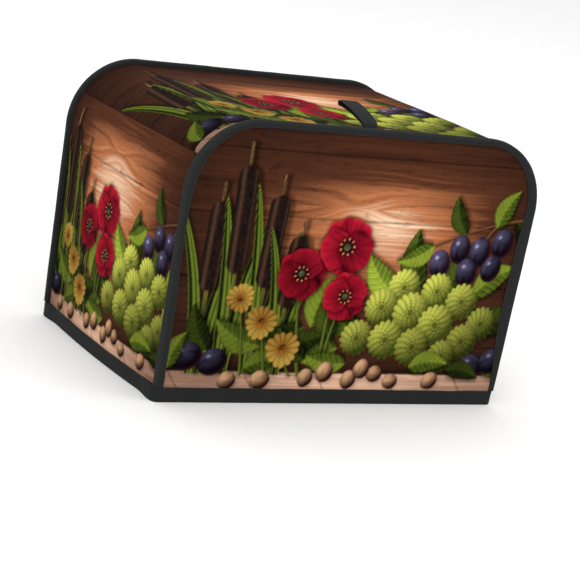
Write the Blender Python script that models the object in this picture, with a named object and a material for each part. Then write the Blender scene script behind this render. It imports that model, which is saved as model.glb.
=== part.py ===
"""Boxy cloth cover for a two-slice toaster, standing on its hem. Metres, +Z up.

A front and a back panel with rounded top corners are joined by a gusset of three panels: left side, top
and right side. Each long seam stands out as a flange bound with folded tape, a folded tape hems the open
bottom, and a tape loop sewn into the front seam lies back over the top. The pieces are laid out on a true
box first, and then every point is settled by one smooth rule that leans the walls, fills the panels out and
lets the top dip. The origin is the centre of the open bottom, on the surface that the hem stands on.
"""

from collections import namedtuple
import math

import bmesh
import bpy
import numpy as np

# Driving sizes of the true box
WIDTH = 0.300            # over the two side flanges, at the shoulders
DEPTH = 0.217            # over the tape of the front and back seams
HEIGHT = 0.210           # to the top of the seam flanges
CORNER_RADIUS = 0.0545   # of the flanges at the two top corners
CLOTH = 0.0020           # thickness of a panel
TAPE = 0.0010            # thickness of the binding tape
GAP = 0.0003             # clearance between two pieces
FLANGE_FACE = 0.0078     # width of the tape on the front or back panel
FLANGE_PROUD = 0.0042    # how far a bound seam stands out from the gusset
HEM_HEIGHT = 0.0112
HEM_CORNER = 0.0050      # plan radius of the hem's outer corners
EAR_LENGTH = 0.0300      # stretch of hem that swells over the end of each bound seam

# The pull loop
LOOP_PLACE = -0.0070     # sewn a little left of the middle
LOOP_ROOT_WIDTH = 0.0095
LOOP_END_WIDTH = 0.0150
LOOP_ROOT_SPACE = 0.0004  # between its two layers where they leave the seam
LOOP_END_SPACE = 0.0028  # between its two layers at the fold

# How the soft cloth departs from the box
LEAN_WIDTH = 0.0285      # widening from the surface up to the top, as a share of the width
LEAN_DEPTH = 0.0350      # the same for the depth
FACE_FILL = 0.0030       # the front and back panels fill out
SIDE_FILL = 0.0025       # the side panels fill out
SIDE_HEM_BOW = 0.0045    # the hem bows out at the sides
TOP_SAG = 0.0016         # the top panel dips between its seams
SIDE_SEAM_ANGLE = 30.0   # degrees up the corner curve where a side panel meets the top panel

# Places that follow from them
HALF_WIDTH = WIDTH / 2
HALF_DEPTH = DEPTH / 2
SHOULDER = HEIGHT - CORNER_RADIUS
PANEL_NEAR = TAPE + GAP                  # a panel's outer face, behind the face of the tape
PANEL_FAR = PANEL_NEAR + CLOTH           # its inner face
SEAM_THICK = PANEL_FAR + GAP + TAPE      # front to back through a bound seam
GUSSET_EDGE = PANEL_FAR + GAP            # where the gusset's edge meets the panel
GUSSET_OUT = -FLANGE_PROUD               # the gusset's outer face, measured from the flange's rim
GUSSET_IN = GUSSET_OUT - CLOTH
HEM_FLOOR = TAPE + GAP                   # the panels' lower edge in the hem's fold
ABOVE_HEM = HEM_HEIGHT + GAP
STEP_UP = 0.0035                         # height over which a panel widens from the hem to its full width

# Steps along the shapes
SIDE_STEPS = 7
ARC_STEPS = 9
TOP_STEPS = 10
DEPTH_STEPS = 10
FACE_COLUMNS = 16
HEM_ARC_STEPS = 4
EAR_STEPS = (0.20, 0.40, 0.60)  # as shares of the ear's length, towards the corner
EAR_FULL = 0.80                # share of its length by which the ear stands out in full
LOOP_STEPS = 12
LOOP_FOLD_STEPS = 6
SHARP_ANGLE = 35.0             # degrees between two faces that are shaded as an edge

CLOTH_COLOUR = (0.235, 0.092, 0.050, 1.0)
CLOTH_ROUGHNESS = 0.62
TAPE_COLOUR = (0.024, 0.026, 0.027, 1.0)
TAPE_ROUGHNESS = 0.72

# The middle of the pull loop: how far behind its root, and how far above the flange
LoopPoint = namedtuple("LoopPoint", "behind above")
LOOP_ROUTE = [
    LoopPoint(0.0000, -0.0030),
    LoopPoint(0.0004, -0.0004),
    LoopPoint(0.0028, 0.0022),
    LoopPoint(0.0095, 0.0049),
    LoopPoint(0.0200, 0.0079),
    LoopPoint(0.0300, 0.0098),
    LoopPoint(0.0365, 0.0105),
]


def clear_scene():
    for obj in list(bpy.data.objects):
        bpy.data.objects.remove(obj, do_unlink=True)


def cloth_material(name, colour, roughness):
    material = bpy.data.materials.new(name)
    material.use_nodes = True
    shader = material.node_tree.nodes["Principled BSDF"]
    shader.inputs["Base Color"].default_value = colour
    shader.inputs["Roughness"].default_value = roughness
    shader.inputs["Metallic"].default_value = 0.0
    material.diffuse_color = colour
    return material


def settle(points):
    """Moves points of the true box to where the soft cloth lies. The surface, at height 0, stays level."""
    x, y, z = np.array(points, float).T
    up, across, deep = z / HEIGHT, x / HALF_WIDTH, y / HALF_DEPTH
    lean = (z - SHOULDER) / HEIGHT
    swell = np.sin(np.pi * np.clip(up, 0, 1))
    fading = np.clip(1 - up, 0, 1) ** 2
    middle = 1 - np.clip(across, -1, 1) ** 2
    between = 1 - np.clip(deep, -1, 1) ** 2
    side_out = (SIDE_FILL * swell + SIDE_HEM_BOW * fading) * between * across
    face_out = FACE_FILL * swell * middle * deep
    settled_x = x * (1 + LEAN_WIDTH * lean) + side_out
    settled_y = y * (1 + LEAN_DEPTH * lean) + face_out
    settled_z = z - TOP_SAG * middle**2 * between * np.clip(up, 0, 1) ** 4
    return np.stack([settled_x, settled_y, settled_z], axis=1)


def add_solid(name, points, faces, material):
    """One closed object, settled, with its faces pointing out and its curved faces shaded smooth."""
    mesh = bpy.data.meshes.new(name)
    mesh.from_pydata(settle(points).tolist(), [], faces)
    solid = bmesh.new()
    solid.from_mesh(mesh)
    bmesh.ops.recalc_face_normals(solid, faces=solid.faces)
    solid.to_mesh(mesh)
    solid.free()
    obj = bpy.data.objects.new(name, mesh)
    bpy.context.scene.collection.objects.link(obj)
    mesh.materials.append(material)
    mesh.shade_smooth()
    mesh.set_sharp_from_angle(angle=math.radians(SHARP_ANGLE))
    return obj


def slab(name, outer, inner, material):
    """A sheet between two grids of points, closed by a strip round their rims."""
    rows, columns = len(outer), len(outer[0])
    points = [p for row in outer for p in row] + [p for row in inner for p in row]
    back = rows * columns
    faces = []
    for i in range(rows - 1):
        for j in range(columns - 1):
            a = i * columns + j
            b, c, d = a + 1, a + columns + 1, a + columns
            faces.append((a, b, c, d))
            faces.append((back + a, back + d, back + c, back + b))
    rim = list(range(columns))
    rim += [i * columns + columns - 1 for i in range(1, rows)]
    rim += [(rows - 1) * columns + j for j in range(columns - 2, -1, -1)]
    rim += [i * columns for i in range(rows - 2, 0, -1)]
    for a, b in zip(rim, rim[1:] + rim[:1]):
        faces.append((b, a, back + a, back + b))
    return add_solid(name, points, faces, material)


def skin(loops, closed):
    """The faces between neighbouring loops of points, with a cap at each end unless the loops close up."""
    count = len(loops[0])
    faces = []
    for k in range(len(loops) if closed else len(loops) - 1):
        here, there = k * count, (k + 1) % len(loops) * count
        for i in range(count):
            j = (i + 1) % count
            faces.append((here + i, here + j, there + j, there + i))
    if not closed:
        faces.append(tuple(range(count)))
        faces.append(tuple(reversed(range((len(loops) - 1) * count, len(loops) * count))))
    return [p for loop in loops for p in loop], faces


def spaced(low, high, steps):
    return [low + (high - low) * i / steps for i in range(steps + 1)]


def mirrored(stations):
    """The same stations on the other side, in the opposite order."""
    return [(-x, z, -nx, nz) for x, z, nx, nz in reversed(stations)]


def side_stations(bottom):
    """Points up the left side of the flange's rim, with their outward direction, as (x, z, nx, nz)."""
    heights = [bottom, ABOVE_HEM] if bottom < ABOVE_HEM else [bottom]
    heights += spaced(ABOVE_HEM + STEP_UP, SHOULDER, SIDE_STEPS)
    return [(-HALF_WIDTH, z, -1.0, 0.0) for z in heights]


def arc_stations(start, end):
    """Points round the left top corner, from one angle in degrees above the horizontal to another."""
    steps = max(2, round(ARC_STEPS * (end - start) / 90))
    found = []
    for angle in spaced(start, end, steps):
        across, up = -math.cos(math.radians(angle)), math.sin(math.radians(angle))
        x = CORNER_RADIUS - HALF_WIDTH + CORNER_RADIUS * across
        found.append((x, SHOULDER + CORNER_RADIUS * up, across, up))
    return found


def top_stations():
    """Points along the straight top of the rim, between the two corner curves."""
    reach = HALF_WIDTH - CORNER_RADIUS
    return [(x, HEIGHT, 0.0, 1.0) for x in spaced(-reach, reach, TOP_STEPS)]


def face_rows():
    """(height, half width) of each row of a front or back panel, from the fold of the hem to the top seam."""
    hem_half = HALF_WIDTH + GUSSET_OUT
    rows = [(HEM_FLOOR, hem_half), (ABOVE_HEM, hem_half)]
    rows += [(z, HALF_WIDTH - PANEL_NEAR) for z in spaced(ABOVE_HEM + STEP_UP, SHOULDER, SIDE_STEPS)]
    radius = CORNER_RADIUS - PANEL_NEAR
    for angle in spaced(0, 90, ARC_STEPS)[1:]:
        turn = math.radians(angle)
        half = HALF_WIDTH - CORNER_RADIUS + radius * math.cos(turn)
        rows.append((SHOULDER + radius * math.sin(turn), half))
    return rows


def face_panel(name, side, material):
    """The front panel (side -1) or the back panel (side 1)."""
    outer, inner = [], []
    for z, half in face_rows():
        columns = spaced(-half, half, FACE_COLUMNS)
        outer.append([(x, side * (HALF_DEPTH - PANEL_NEAR), z) for x in columns])
        inner.append([(x, side * (HALF_DEPTH - PANEL_FAR), z) for x in columns])
    return slab(name, outer, inner, material)


def gusset_panel(name, stations, material):
    """One panel of the gusset over a run of stations, its edges held against the front and back panels."""
    reach = HALF_DEPTH - GUSSET_EDGE
    depths = spaced(-reach, reach, DEPTH_STEPS)
    outer = [[(x + nx * GUSSET_OUT, y, z + nz * GUSSET_OUT) for y in depths] for x, z, nx, nz in stations]
    inner = [[(x + nx * GUSSET_IN, y, z + nz * GUSSET_IN) for y in depths] for x, z, nx, nz in stations]
    return slab(name, outer, inner, material)


def gusset_panels(material):
    """The left, top and right panels, parted at a plain seam on each corner curve."""
    parting = math.degrees(GAP / (CORNER_RADIUS - FLANGE_PROUD))
    left = side_stations(HEM_FLOOR) + arc_stations(0, SIDE_SEAM_ANGLE)[1:]
    left_shoulder = arc_stations(SIDE_SEAM_ANGLE + parting, 90)
    top = left_shoulder + top_stations()[1:-1] + mirrored(left_shoulder)
    gusset_panel("left_panel", left, material)
    gusset_panel("top_panel", top, material)
    gusset_panel("right_panel", mirrored(left), material)


def binding_section():
    """The folded tape of a bound seam, as (outward from the rim, behind the tape's face)."""
    soft = TAPE / 2
    back_foot = GUSSET_OUT + GAP
    return [
        (-FLANGE_FACE, 0.0),
        (-FLANGE_FACE, TAPE),
        (-TAPE, TAPE),
        (-TAPE, SEAM_THICK - TAPE),
        (back_foot, SEAM_THICK - TAPE),
        (back_foot, SEAM_THICK),
        (-soft, SEAM_THICK),
        (0.0, SEAM_THICK - soft),
        (0.0, soft),
        (-soft, 0.0),
    ]


def seam_binding(name, side, material):
    """The tape over the front seam (side -1) or the back seam (side 1), from foot to foot over the top."""
    left = side_stations(ABOVE_HEM) + arc_stations(0, 90)[1:]
    rim = left + top_stations()[1:-1] + mirrored(left)
    section = [(outward, side * (HALF_DEPTH - behind)) for outward, behind in binding_section()]
    loops = [[(x + nx * out, y, z + nz * out) for out, y in section] for x, z, nx, nz in rim]
    points, faces = skin(loops, closed=False)
    return add_solid(name, points, faces, material)


def ear_swell(y, y_half, ear):
    """How far the hem stands out over the end of a bound seam: not at all in mid side, fully at the corner."""
    near = (abs(y) - (y_half - EAR_LENGTH)) / (EAR_FULL * EAR_LENGTH)
    return ear * math.sin(0.5 * math.pi * min(1.0, max(0.0, near))) ** 2


def hem_loop(x_half, y_half, radius, ear, height):
    """A level loop of the hem, anticlockwise from above, with a rounded corner and an ear at each seam."""
    corner_x = x_half + ear
    columns = spaced(radius - corner_x, corner_x - radius, FACE_COLUMNS)
    ear_edge = y_half - EAR_LENGTH
    to_corner = [ear_edge + EAR_LENGTH * share for share in EAR_STEPS]
    depths = [-y for y in reversed(to_corner)] + spaced(-ear_edge, ear_edge, DEPTH_STEPS) + to_corner
    turns = [math.radians(angle) for angle in spaced(0, 90, HEM_ARC_STEPS)]
    centre_x, centre_y = corner_x - radius, radius - y_half
    right_front = [(centre_x + radius * math.sin(turn), centre_y - radius * math.cos(turn)) for turn in turns]
    front = [(x, -y_half) for x in columns[1:-1]]
    side = [(x_half + ear_swell(y, y_half, ear), y) for y in depths]
    right_back = [(x, -y) for x, y in reversed(right_front)]
    half = front + right_front + side + right_back
    return [(x, y, height) for x, y in half] + [(-x, -y, height) for x, y in half]


def hem_binding(material):
    """The tape folded up round the lower edge of the four walls, flat underneath."""
    outer_x = HALF_WIDTH + GUSSET_OUT + PANEL_NEAR
    outer_y = HALF_DEPTH
    slot = CLOTH + 2 * GAP
    inner = 2 * TAPE + slot
    ear = HALF_WIDTH - outer_x
    soft = TAPE / 2
    tight = GAP / 2
    loops = [
        hem_loop(outer_x, outer_y, HEM_CORNER, ear, 0.0),
        hem_loop(outer_x, outer_y, HEM_CORNER, ear, HEM_HEIGHT - soft),
        hem_loop(outer_x - soft, outer_y - soft, HEM_CORNER - soft, ear, HEM_HEIGHT),
        hem_loop(outer_x - TAPE, outer_y - TAPE, tight, 0.0, HEM_HEIGHT),
        hem_loop(outer_x - TAPE, outer_y - TAPE, tight, 0.0, TAPE),
        hem_loop(outer_x - TAPE - slot, outer_y - TAPE - slot, tight, 0.0, TAPE),
        hem_loop(outer_x - TAPE - slot, outer_y - TAPE - slot, tight, 0.0, HEM_HEIGHT),
        hem_loop(outer_x - inner, outer_y - inner, TAPE, 0.0, HEM_HEIGHT),
        hem_loop(outer_x - inner, outer_y - inner, TAPE, 0.0, 0.0),
    ]
    points, faces = skin(loops, closed=True)
    return add_solid("hem_binding", points, faces, material)


def smooth_route(route, steps):
    """A Catmull-Rom curve through the route, read at even shares of its spans: places and unit directions."""
    known = np.array(route, float)
    known = np.vstack([2 * known[0] - known[1], known, 2 * known[-1] - known[-2]])
    spans = len(known) - 3
    share = np.linspace(0, spans, steps + 1)
    span = np.minimum(share.astype(int), spans - 1)
    t = (share - span)[:, None]
    a, b, c, d = (known[span + k] for k in range(4))
    places = 0.5 * (2 * b + (c - a) * t + (2 * a - 5 * b + 4 * c - d) * t**2 + (3 * b - a - 3 * c + d) * t**3)
    directions = 0.5 * ((c - a) + 2 * (2 * a - 5 * b + 4 * c - d) * t + 3 * (3 * b - a - 3 * c + d) * t**2)
    return places, directions / np.linalg.norm(directions, axis=1)[:, None]


def hairpin_stations():
    """Stations along the folded tape: out along its lower layer, round the fold and back along the upper one.

    Each is (behind, above, outward behind, outward above, half width).
    """
    places, directions = smooth_route(LOOP_ROUTE, LOOP_STEPS)
    normals = np.stack([-directions[:, 1], directions[:, 0]], axis=1)
    share = np.linspace(0, 1, LOOP_STEPS + 1)
    apart = (TAPE + LOOP_ROOT_SPACE + (LOOP_END_SPACE - LOOP_ROOT_SPACE) * share**2) / 2
    half = (LOOP_ROOT_WIDTH + (LOOP_END_WIDTH - LOOP_ROOT_WIDTH) * np.sin(0.5 * np.pi * share)) / 2
    lower = [(*(p - n * h), *-n, w) for p, n, h, w in zip(places, normals, apart, half)]
    upper = [(*(p + n * h), *n, w) for p, n, h, w in zip(places, normals, apart, half)]
    fold = []
    for turn in spaced(-90, 90, LOOP_FOLD_STEPS)[1:-1]:
        angle = math.radians(turn)
        away = directions[-1] * math.cos(angle) + normals[-1] * math.sin(angle)
        fold.append((*(places[-1] + apart[-1] * away), *away, half[-1]))
    return lower + fold + upper[::-1]


def pull_loop(material):
    """The tape loop: both ends sewn into the front seam, its fold lying back over the top."""
    root = SEAM_THICK + GAP + TAPE + LOOP_ROOT_SPACE / 2 - HALF_DEPTH
    loops = []
    for behind, above, out_behind, out_above, half in hairpin_stations():
        y, z = root + behind, HEIGHT + above
        near = (y - out_behind * TAPE / 2, z - out_above * TAPE / 2)
        far = (y + out_behind * TAPE / 2, z + out_above * TAPE / 2)
        left, right = LOOP_PLACE - half, LOOP_PLACE + half
        loops.append([(left, *near), (right, *near), (right, *far), (left, *far)])
    points, faces = skin(loops, closed=False)
    return add_solid("pull_loop", points, faces, material)


def main():
    clear_scene()
    printed = cloth_material("printed_cloth", CLOTH_COLOUR, CLOTH_ROUGHNESS)
    taped = cloth_material("binding_tape", TAPE_COLOUR, TAPE_ROUGHNESS)
    face_panel("front_panel", -1, printed)
    face_panel("back_panel", 1, printed)
    gusset_panels(printed)
    seam_binding("front_binding", -1, taped)
    seam_binding("back_binding", 1, taped)
    hem_binding(taped)
    pull_loop(taped)


main()
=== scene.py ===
"""Looks of a boxy cloth toaster cover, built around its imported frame.

The cover has five printed cloth panels, folded tape over its two long seams, a taped hem and a pull loop. Every
piece is a surface worked out on a true box and then settled by the same rule as the solids, and the print is a
botanical design painted point by point on the cloth's own grid.
"""

from __future__ import annotations

import logging
import math
from dataclasses import dataclass
from enum import Enum

import bpy
import numpy as np
from mathutils import Matrix, Vector


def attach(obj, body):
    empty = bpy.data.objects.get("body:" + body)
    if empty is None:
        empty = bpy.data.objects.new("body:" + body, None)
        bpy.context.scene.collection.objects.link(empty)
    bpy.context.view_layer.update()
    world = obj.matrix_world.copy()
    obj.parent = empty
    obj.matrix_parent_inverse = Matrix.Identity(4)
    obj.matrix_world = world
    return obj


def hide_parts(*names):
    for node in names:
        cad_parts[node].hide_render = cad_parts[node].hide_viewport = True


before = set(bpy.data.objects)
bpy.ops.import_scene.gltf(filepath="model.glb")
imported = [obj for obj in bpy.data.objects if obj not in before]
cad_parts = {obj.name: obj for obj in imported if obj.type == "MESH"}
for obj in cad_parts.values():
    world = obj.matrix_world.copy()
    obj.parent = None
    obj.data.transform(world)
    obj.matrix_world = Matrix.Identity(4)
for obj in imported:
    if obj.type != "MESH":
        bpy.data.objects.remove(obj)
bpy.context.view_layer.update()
LOG = logging.getLogger("cover")


class Slot(Enum):
    """Names of two material slots; no piece here takes its finish from them."""

    CLOTH = "printed_cloth"
    TAPE = "binding_tape"


class Face(Enum):
    """The panels of the cover, with the way that each one faces."""

    FRONT = "front"
    BACK = "back"
    LEFT = "left"
    TOP = "top"
    RIGHT = "right"


def linear(colour: tuple[float, float, float]) -> np.ndarray:
    """Turns a colour given in screen values from 0 to 255 into linear light.

    Args:
        colour: Red, green and blue, from 0 to 255.

    Returns:
        The three linear values, from 0 to 1.
    """
    c = np.asarray(colour, float) / 255.0
    return np.where(c <= 0.04045, c / 12.92, ((c + 0.055) / 1.055) ** 2.4)


def smooth(x: np.ndarray | float) -> np.ndarray:
    """A smooth step: 0 up to x = 0, 1 from x = 1 on, and 3x^2 - 2x^3 between."""
    t = np.clip(x, 0.0, 1.0)
    return t * t * (3.0 - 2.0 * t)


def lattice_noise(x: np.ndarray, y: np.ndarray, seed: int) -> np.ndarray:
    """Smooth noise from 0 to 1: hashed values at whole-number places, blended between by a smooth step.

    Args:
        x: First coordinate, one unit per bump.
        y: Second coordinate.
        seed: Picks one of many fields.

    Returns:
        An array of the same shape as x.
    """
    x0, y0 = np.floor(x).astype(np.int64), np.floor(y).astype(np.int64)
    fx, fy = smooth(x - x0), smooth(y - y0)

    def corner(i: int, j: int) -> np.ndarray:
        """The hashed value at one corner of each cell."""
        h = (x0 + i) * 374761393 + (y0 + j) * 668265263 + seed * 974634533
        h = ((h ^ (h >> 13)) & 0x7FFFFFFF) * 1274126177
        return ((h ^ (h >> 16)) & 0xFFFF) / 65535.0

    low = corner(0, 0) * (1 - fx) + corner(1, 0) * fx
    high = corner(0, 1) * (1 - fx) + corner(1, 1) * fx
    return low * (1 - fy) + high * fy


def layered_noise(x: np.ndarray, y: np.ndarray, seed: int, layers: int = 3) -> np.ndarray:
    """Several sizes of lattice noise added up, each half as large and half as strong as the one before."""
    total, weight = np.zeros(np.broadcast(x, y).shape), 0.0
    for k in range(layers):
        total = total + lattice_noise(x * 2.0**k, y * 2.0**k, seed + 17 * k) / 2.0**k
        weight += 1 / 2.0**k
    return total / weight


@dataclass(frozen=True)
class Cover:
    """The driving sizes of the cover, in metres, the same as those of its solids."""

    width: float = 0.300
    depth: float = 0.217
    height: float = 0.210
    corner_radius: float = 0.0545
    cloth: float = 0.0020
    tape: float = 0.0010
    gap: float = 0.0003
    flange_face: float = 0.0078
    flange_proud: float = 0.0042
    hem_height: float = 0.0112
    hem_corner: float = 0.0050
    ear_length: float = 0.0300
    lean_width: float = 0.0285
    lean_depth: float = 0.0350
    face_fill: float = 0.0030
    side_fill: float = 0.0025
    side_hem_bow: float = 0.0045
    top_sag: float = 0.0016
    side_seam_angle: float = 30.0
    step_up: float = 0.0035

    @property
    def half_width(self) -> float:
        """Half the width over the flanges."""
        return self.width / 2

    @property
    def half_depth(self) -> float:
        """Half the depth over the tape."""
        return self.depth / 2

    @property
    def shoulder(self) -> float:
        """The height where the corner curves start."""
        return self.height - self.corner_radius

    @property
    def panel_near(self) -> float:
        """How far a face panel's outer side lies behind the face of the tape."""
        return self.tape + self.gap

    @property
    def seam_thick(self) -> float:
        """Front to back through a bound seam."""
        return 2 * self.tape + 2 * self.gap + self.cloth

    @property
    def gusset_edge(self) -> float:
        """Where a gusset panel's edge meets the inner side of a face panel, behind the face of the tape."""
        return self.panel_near + self.cloth + self.gap

    @property
    def above_hem(self) -> float:
        """The height where the pieces above the hem tape start."""
        return self.hem_height + self.gap

    @property
    def rim_length(self) -> float:
        """Length of the flange's rim from the surface on the left, over the top, to the surface on the right."""
        return 2 * self.shoulder + math.pi * self.corner_radius + self.width - 2 * self.corner_radius

    @property
    def half_flat(self) -> float:
        """Half the straight stretch along the top of the rim."""
        return self.half_width - self.corner_radius

    def rim(self, along: np.ndarray) -> tuple[np.ndarray, np.ndarray, np.ndarray, np.ndarray]:
        """Places on the flange's rim: straight up the side, a quarter circle, straight across, and the same down.

        Args:
            along: Length along the rim from the surface on the left.

        Returns:
            x and z of each place, and the x and z parts of the outward direction there.
        """
        from_middle = np.abs(along - self.rim_length / 2)
        side = np.sign(along - self.rim_length / 2)
        turn = np.clip((from_middle - self.half_flat) / self.corner_radius, 0.0, math.pi / 2)
        down = np.maximum(from_middle - self.half_flat - self.corner_radius * math.pi / 2, 0.0)
        out_x, out_z = np.sin(turn), np.cos(turn)
        x = np.minimum(from_middle, self.half_flat) + self.corner_radius * out_x
        z = self.shoulder + self.corner_radius * out_z - down
        return side * x, z, side * out_x, out_z

    def rim_depth(self, x: np.ndarray, z: np.ndarray) -> np.ndarray:
        """How far inside the flange's rim a point of a face panel lies, measured square to the rim."""
        across, up = np.abs(x) - self.half_flat, z - self.shoulder
        in_corner = self.corner_radius - np.hypot(np.maximum(across, 0), np.maximum(up, 0))
        return np.where((across > 0) | (up > 0), in_corner, self.corner_radius - np.maximum(across, up))

    def half_width_at(self, z: np.ndarray, inset: float) -> np.ndarray:
        """Half the width of a face panel at a height: straight sides, then a quarter circle, less an inset."""
        radius = self.corner_radius - inset
        rise = np.clip(z - self.shoulder, 0.0, radius)
        return self.half_flat + np.sqrt(np.maximum(radius**2 - rise**2, 0.0))

    def settle(self, points: np.ndarray) -> np.ndarray:
        """Moves points of the true box to where the soft cloth lies.

        The width and depth grow in proportion to the height, the walls fill out by a sine of the height times a
        parabola across, and the top dips by a product of parabolas. Points at height 0 stay there.

        Args:
            points: An array whose last axis is x, y, z.

        Returns:
            The moved points, in the same shape.
        """
        x, y, z = points[..., 0], points[..., 1], points[..., 2]
        up, across, deep = z / self.height, x / self.half_width, y / self.half_depth
        lean = (z - self.shoulder) / self.height
        swell = np.sin(np.pi * np.clip(up, 0, 1))
        fading = np.clip(1 - up, 0, 1) ** 2
        middle = 1 - np.clip(across, -1, 1) ** 2
        between = 1 - np.clip(deep, -1, 1) ** 2
        side_out = (self.side_fill * swell + self.side_hem_bow * fading) * between * across
        face_out = self.face_fill * swell * middle * deep
        return np.stack(
            [
                x * (1 + self.lean_width * lean) + side_out,
                y * (1 + self.lean_depth * lean) + face_out,
                z - self.top_sag * middle**2 * between * np.clip(up, 0, 1) ** 4,
            ],
            axis=-1,
        )


class Surface:
    """A mesh in the making: points, faces of any size, and values that belong to the points."""

    def __init__(self, points: np.ndarray) -> None:
        """Starts from an array of points.

        Args:
            points: One row of x, y, z for each point.
        """
        self.points = points.reshape(-1, 3)
        self.loops: list[np.ndarray] = []
        self.sizes: list[np.ndarray] = []
        self.places: np.ndarray | None = None
        self.colours: dict[str, np.ndarray] = {}
        self.numbers: dict[str, np.ndarray] = {}

    def add_faces(self, faces: np.ndarray) -> None:
        """Adds faces that all have the same number of corners, one row each."""
        self.loops.append(faces.reshape(-1))
        self.sizes.append(np.full(len(faces), faces.shape[1], np.int64))

    def turned_outward(self, loops: np.ndarray, sizes: np.ndarray) -> np.ndarray:
        """Reverses every face if the closed surface's volume, summed over fans of triangles, is negative."""
        starts = np.cumsum(sizes) - sizes
        face = np.repeat(np.arange(len(sizes)), np.maximum(sizes - 2, 0))
        count = np.cumsum(np.maximum(sizes - 2, 0)) - np.maximum(sizes - 2, 0)
        step = np.arange(len(face)) - count[face] + 1
        a = self.points[loops[starts[face]]]
        b = self.points[loops[starts[face] + step]]
        c = self.points[loops[starts[face] + step + 1]]
        if (a * np.cross(b, c)).sum() >= 0:
            return loops
        inside = np.arange(len(loops)) - np.repeat(starts, sizes)
        return loops[np.repeat(starts + sizes - 1, sizes) - inside]

    def piece(self, name: str, material: bpy.types.Material, sharp: float = 50.0) -> bpy.types.Object:
        """Makes the Blender object.

        Args:
            name: The piece's name.
            material: Its material.
            sharp: Degrees between two faces from which their edge is shaded as an edge.

        Returns:
            The object, at the origin, with its place in its mesh.
        """
        sizes = np.concatenate(self.sizes)
        loops = self.turned_outward(np.concatenate(self.loops), sizes)
        mesh = bpy.data.meshes.new(name)
        mesh.vertices.add(len(self.points))
        mesh.vertices.foreach_set("co", self.points.astype(np.float32).ravel())
        mesh.loops.add(len(loops))
        mesh.loops.foreach_set("vertex_index", loops.astype(np.int32))
        mesh.polygons.add(len(sizes))
        mesh.polygons.foreach_set("loop_start", (np.cumsum(sizes) - sizes).astype(np.int32))
        mesh.update(calc_edges=True)
        mesh.validate()
        if self.places is not None:
            layer = mesh.uv_layers.new(name="cloth")
            layer.uv.foreach_set("vector", self.places.reshape(-1, 2)[loops].astype(np.float32).ravel())
        for key, values in self.colours.items():
            rgba = np.ones((len(self.points), 4), np.float32)
            rgba[:, :3] = values
            mesh.attributes.new(key, "FLOAT_COLOR", "POINT").data.foreach_set("color", rgba.ravel())
        for key, values in self.numbers.items():
            data = mesh.attributes.new(key, "FLOAT", "POINT").data
            data.foreach_set("value", values.astype(np.float32).ravel())
        mesh.shade_smooth()
        mesh.set_sharp_from_angle(angle=math.radians(sharp))
        mesh.materials.append(material)
        obj = bpy.data.objects.new(name, mesh)
        bpy.context.scene.collection.objects.link(obj)
        return obj


def grid_indices(rows: int, columns: int, first: int = 0) -> np.ndarray:
    """The point numbers of a grid, as rows of columns."""
    return np.arange(first, first + rows * columns).reshape(rows, columns)


def grid_faces(index: np.ndarray) -> np.ndarray:
    """One four-sided face for each cell of a grid of point numbers."""
    return np.stack([index[:-1, :-1], index[:-1, 1:], index[1:, 1:], index[1:, :-1]], axis=-1).reshape(-1, 4)


def rim_of(index: np.ndarray) -> np.ndarray:
    """The point numbers round the rim of a grid, each once."""
    return np.concatenate([index[0, :-1], index[:-1, -1], index[-1, :0:-1], index[:0:-1, 0]])


def cloth_surface(outer: np.ndarray, inner: np.ndarray, step: int) -> Surface:
    """A closed sheet: a fine grid outside, a coarser one inside, and a strip of many-sided faces round the rim.

    Args:
        outer: Rows and columns of points, fine.
        inner: The same stretch seen from inside, every step-th row and column only.
        step: How many fine cells lie along one coarse cell.

    Returns:
        The closed surface, with the outer points first.
    """
    fine = grid_indices(*outer.shape[:2])
    coarse = grid_indices(*inner.shape[:2], first=fine.size)
    surface = Surface(np.concatenate([outer.reshape(-1, 3), inner.reshape(-1, 3)]))
    surface.add_faces(grid_faces(fine))
    surface.add_faces(grid_faces(coarse)[:, ::-1])
    ring, coarse_ring = rim_of(fine), rim_of(coarse)
    count = len(coarse_ring)
    start = np.arange(count)[:, None] * step
    back = ring[(start + np.arange(step, -1, -1)) % len(ring)]
    ahead = np.stack([coarse_ring, np.roll(coarse_ring, -1)], axis=1)
    surface.add_faces(np.concatenate([back, ahead], axis=1))
    return surface


def swept_surface(loops: np.ndarray, closed: bool) -> Surface:
    """A tube through closed loops of points, capped at both ends unless the last loop runs into the first.

    Args:
        loops: Stations, corners of the section, x y z.
        closed: Whether the path closes up.

    Returns:
        The closed surface.
    """
    stations, corners = loops.shape[:2]
    index = grid_indices(stations, corners)
    index = np.concatenate([index, index[:, :1]], axis=1)
    if closed:
        index = np.concatenate([index, index[:1]], axis=0)
    surface = Surface(loops)
    surface.add_faces(grid_faces(index))
    if not closed:
        surface.add_faces(np.arange(corners)[::-1][None, ::1])
        surface.add_faces(np.arange((stations - 1) * corners, stations * corners)[None])
    return surface


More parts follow.
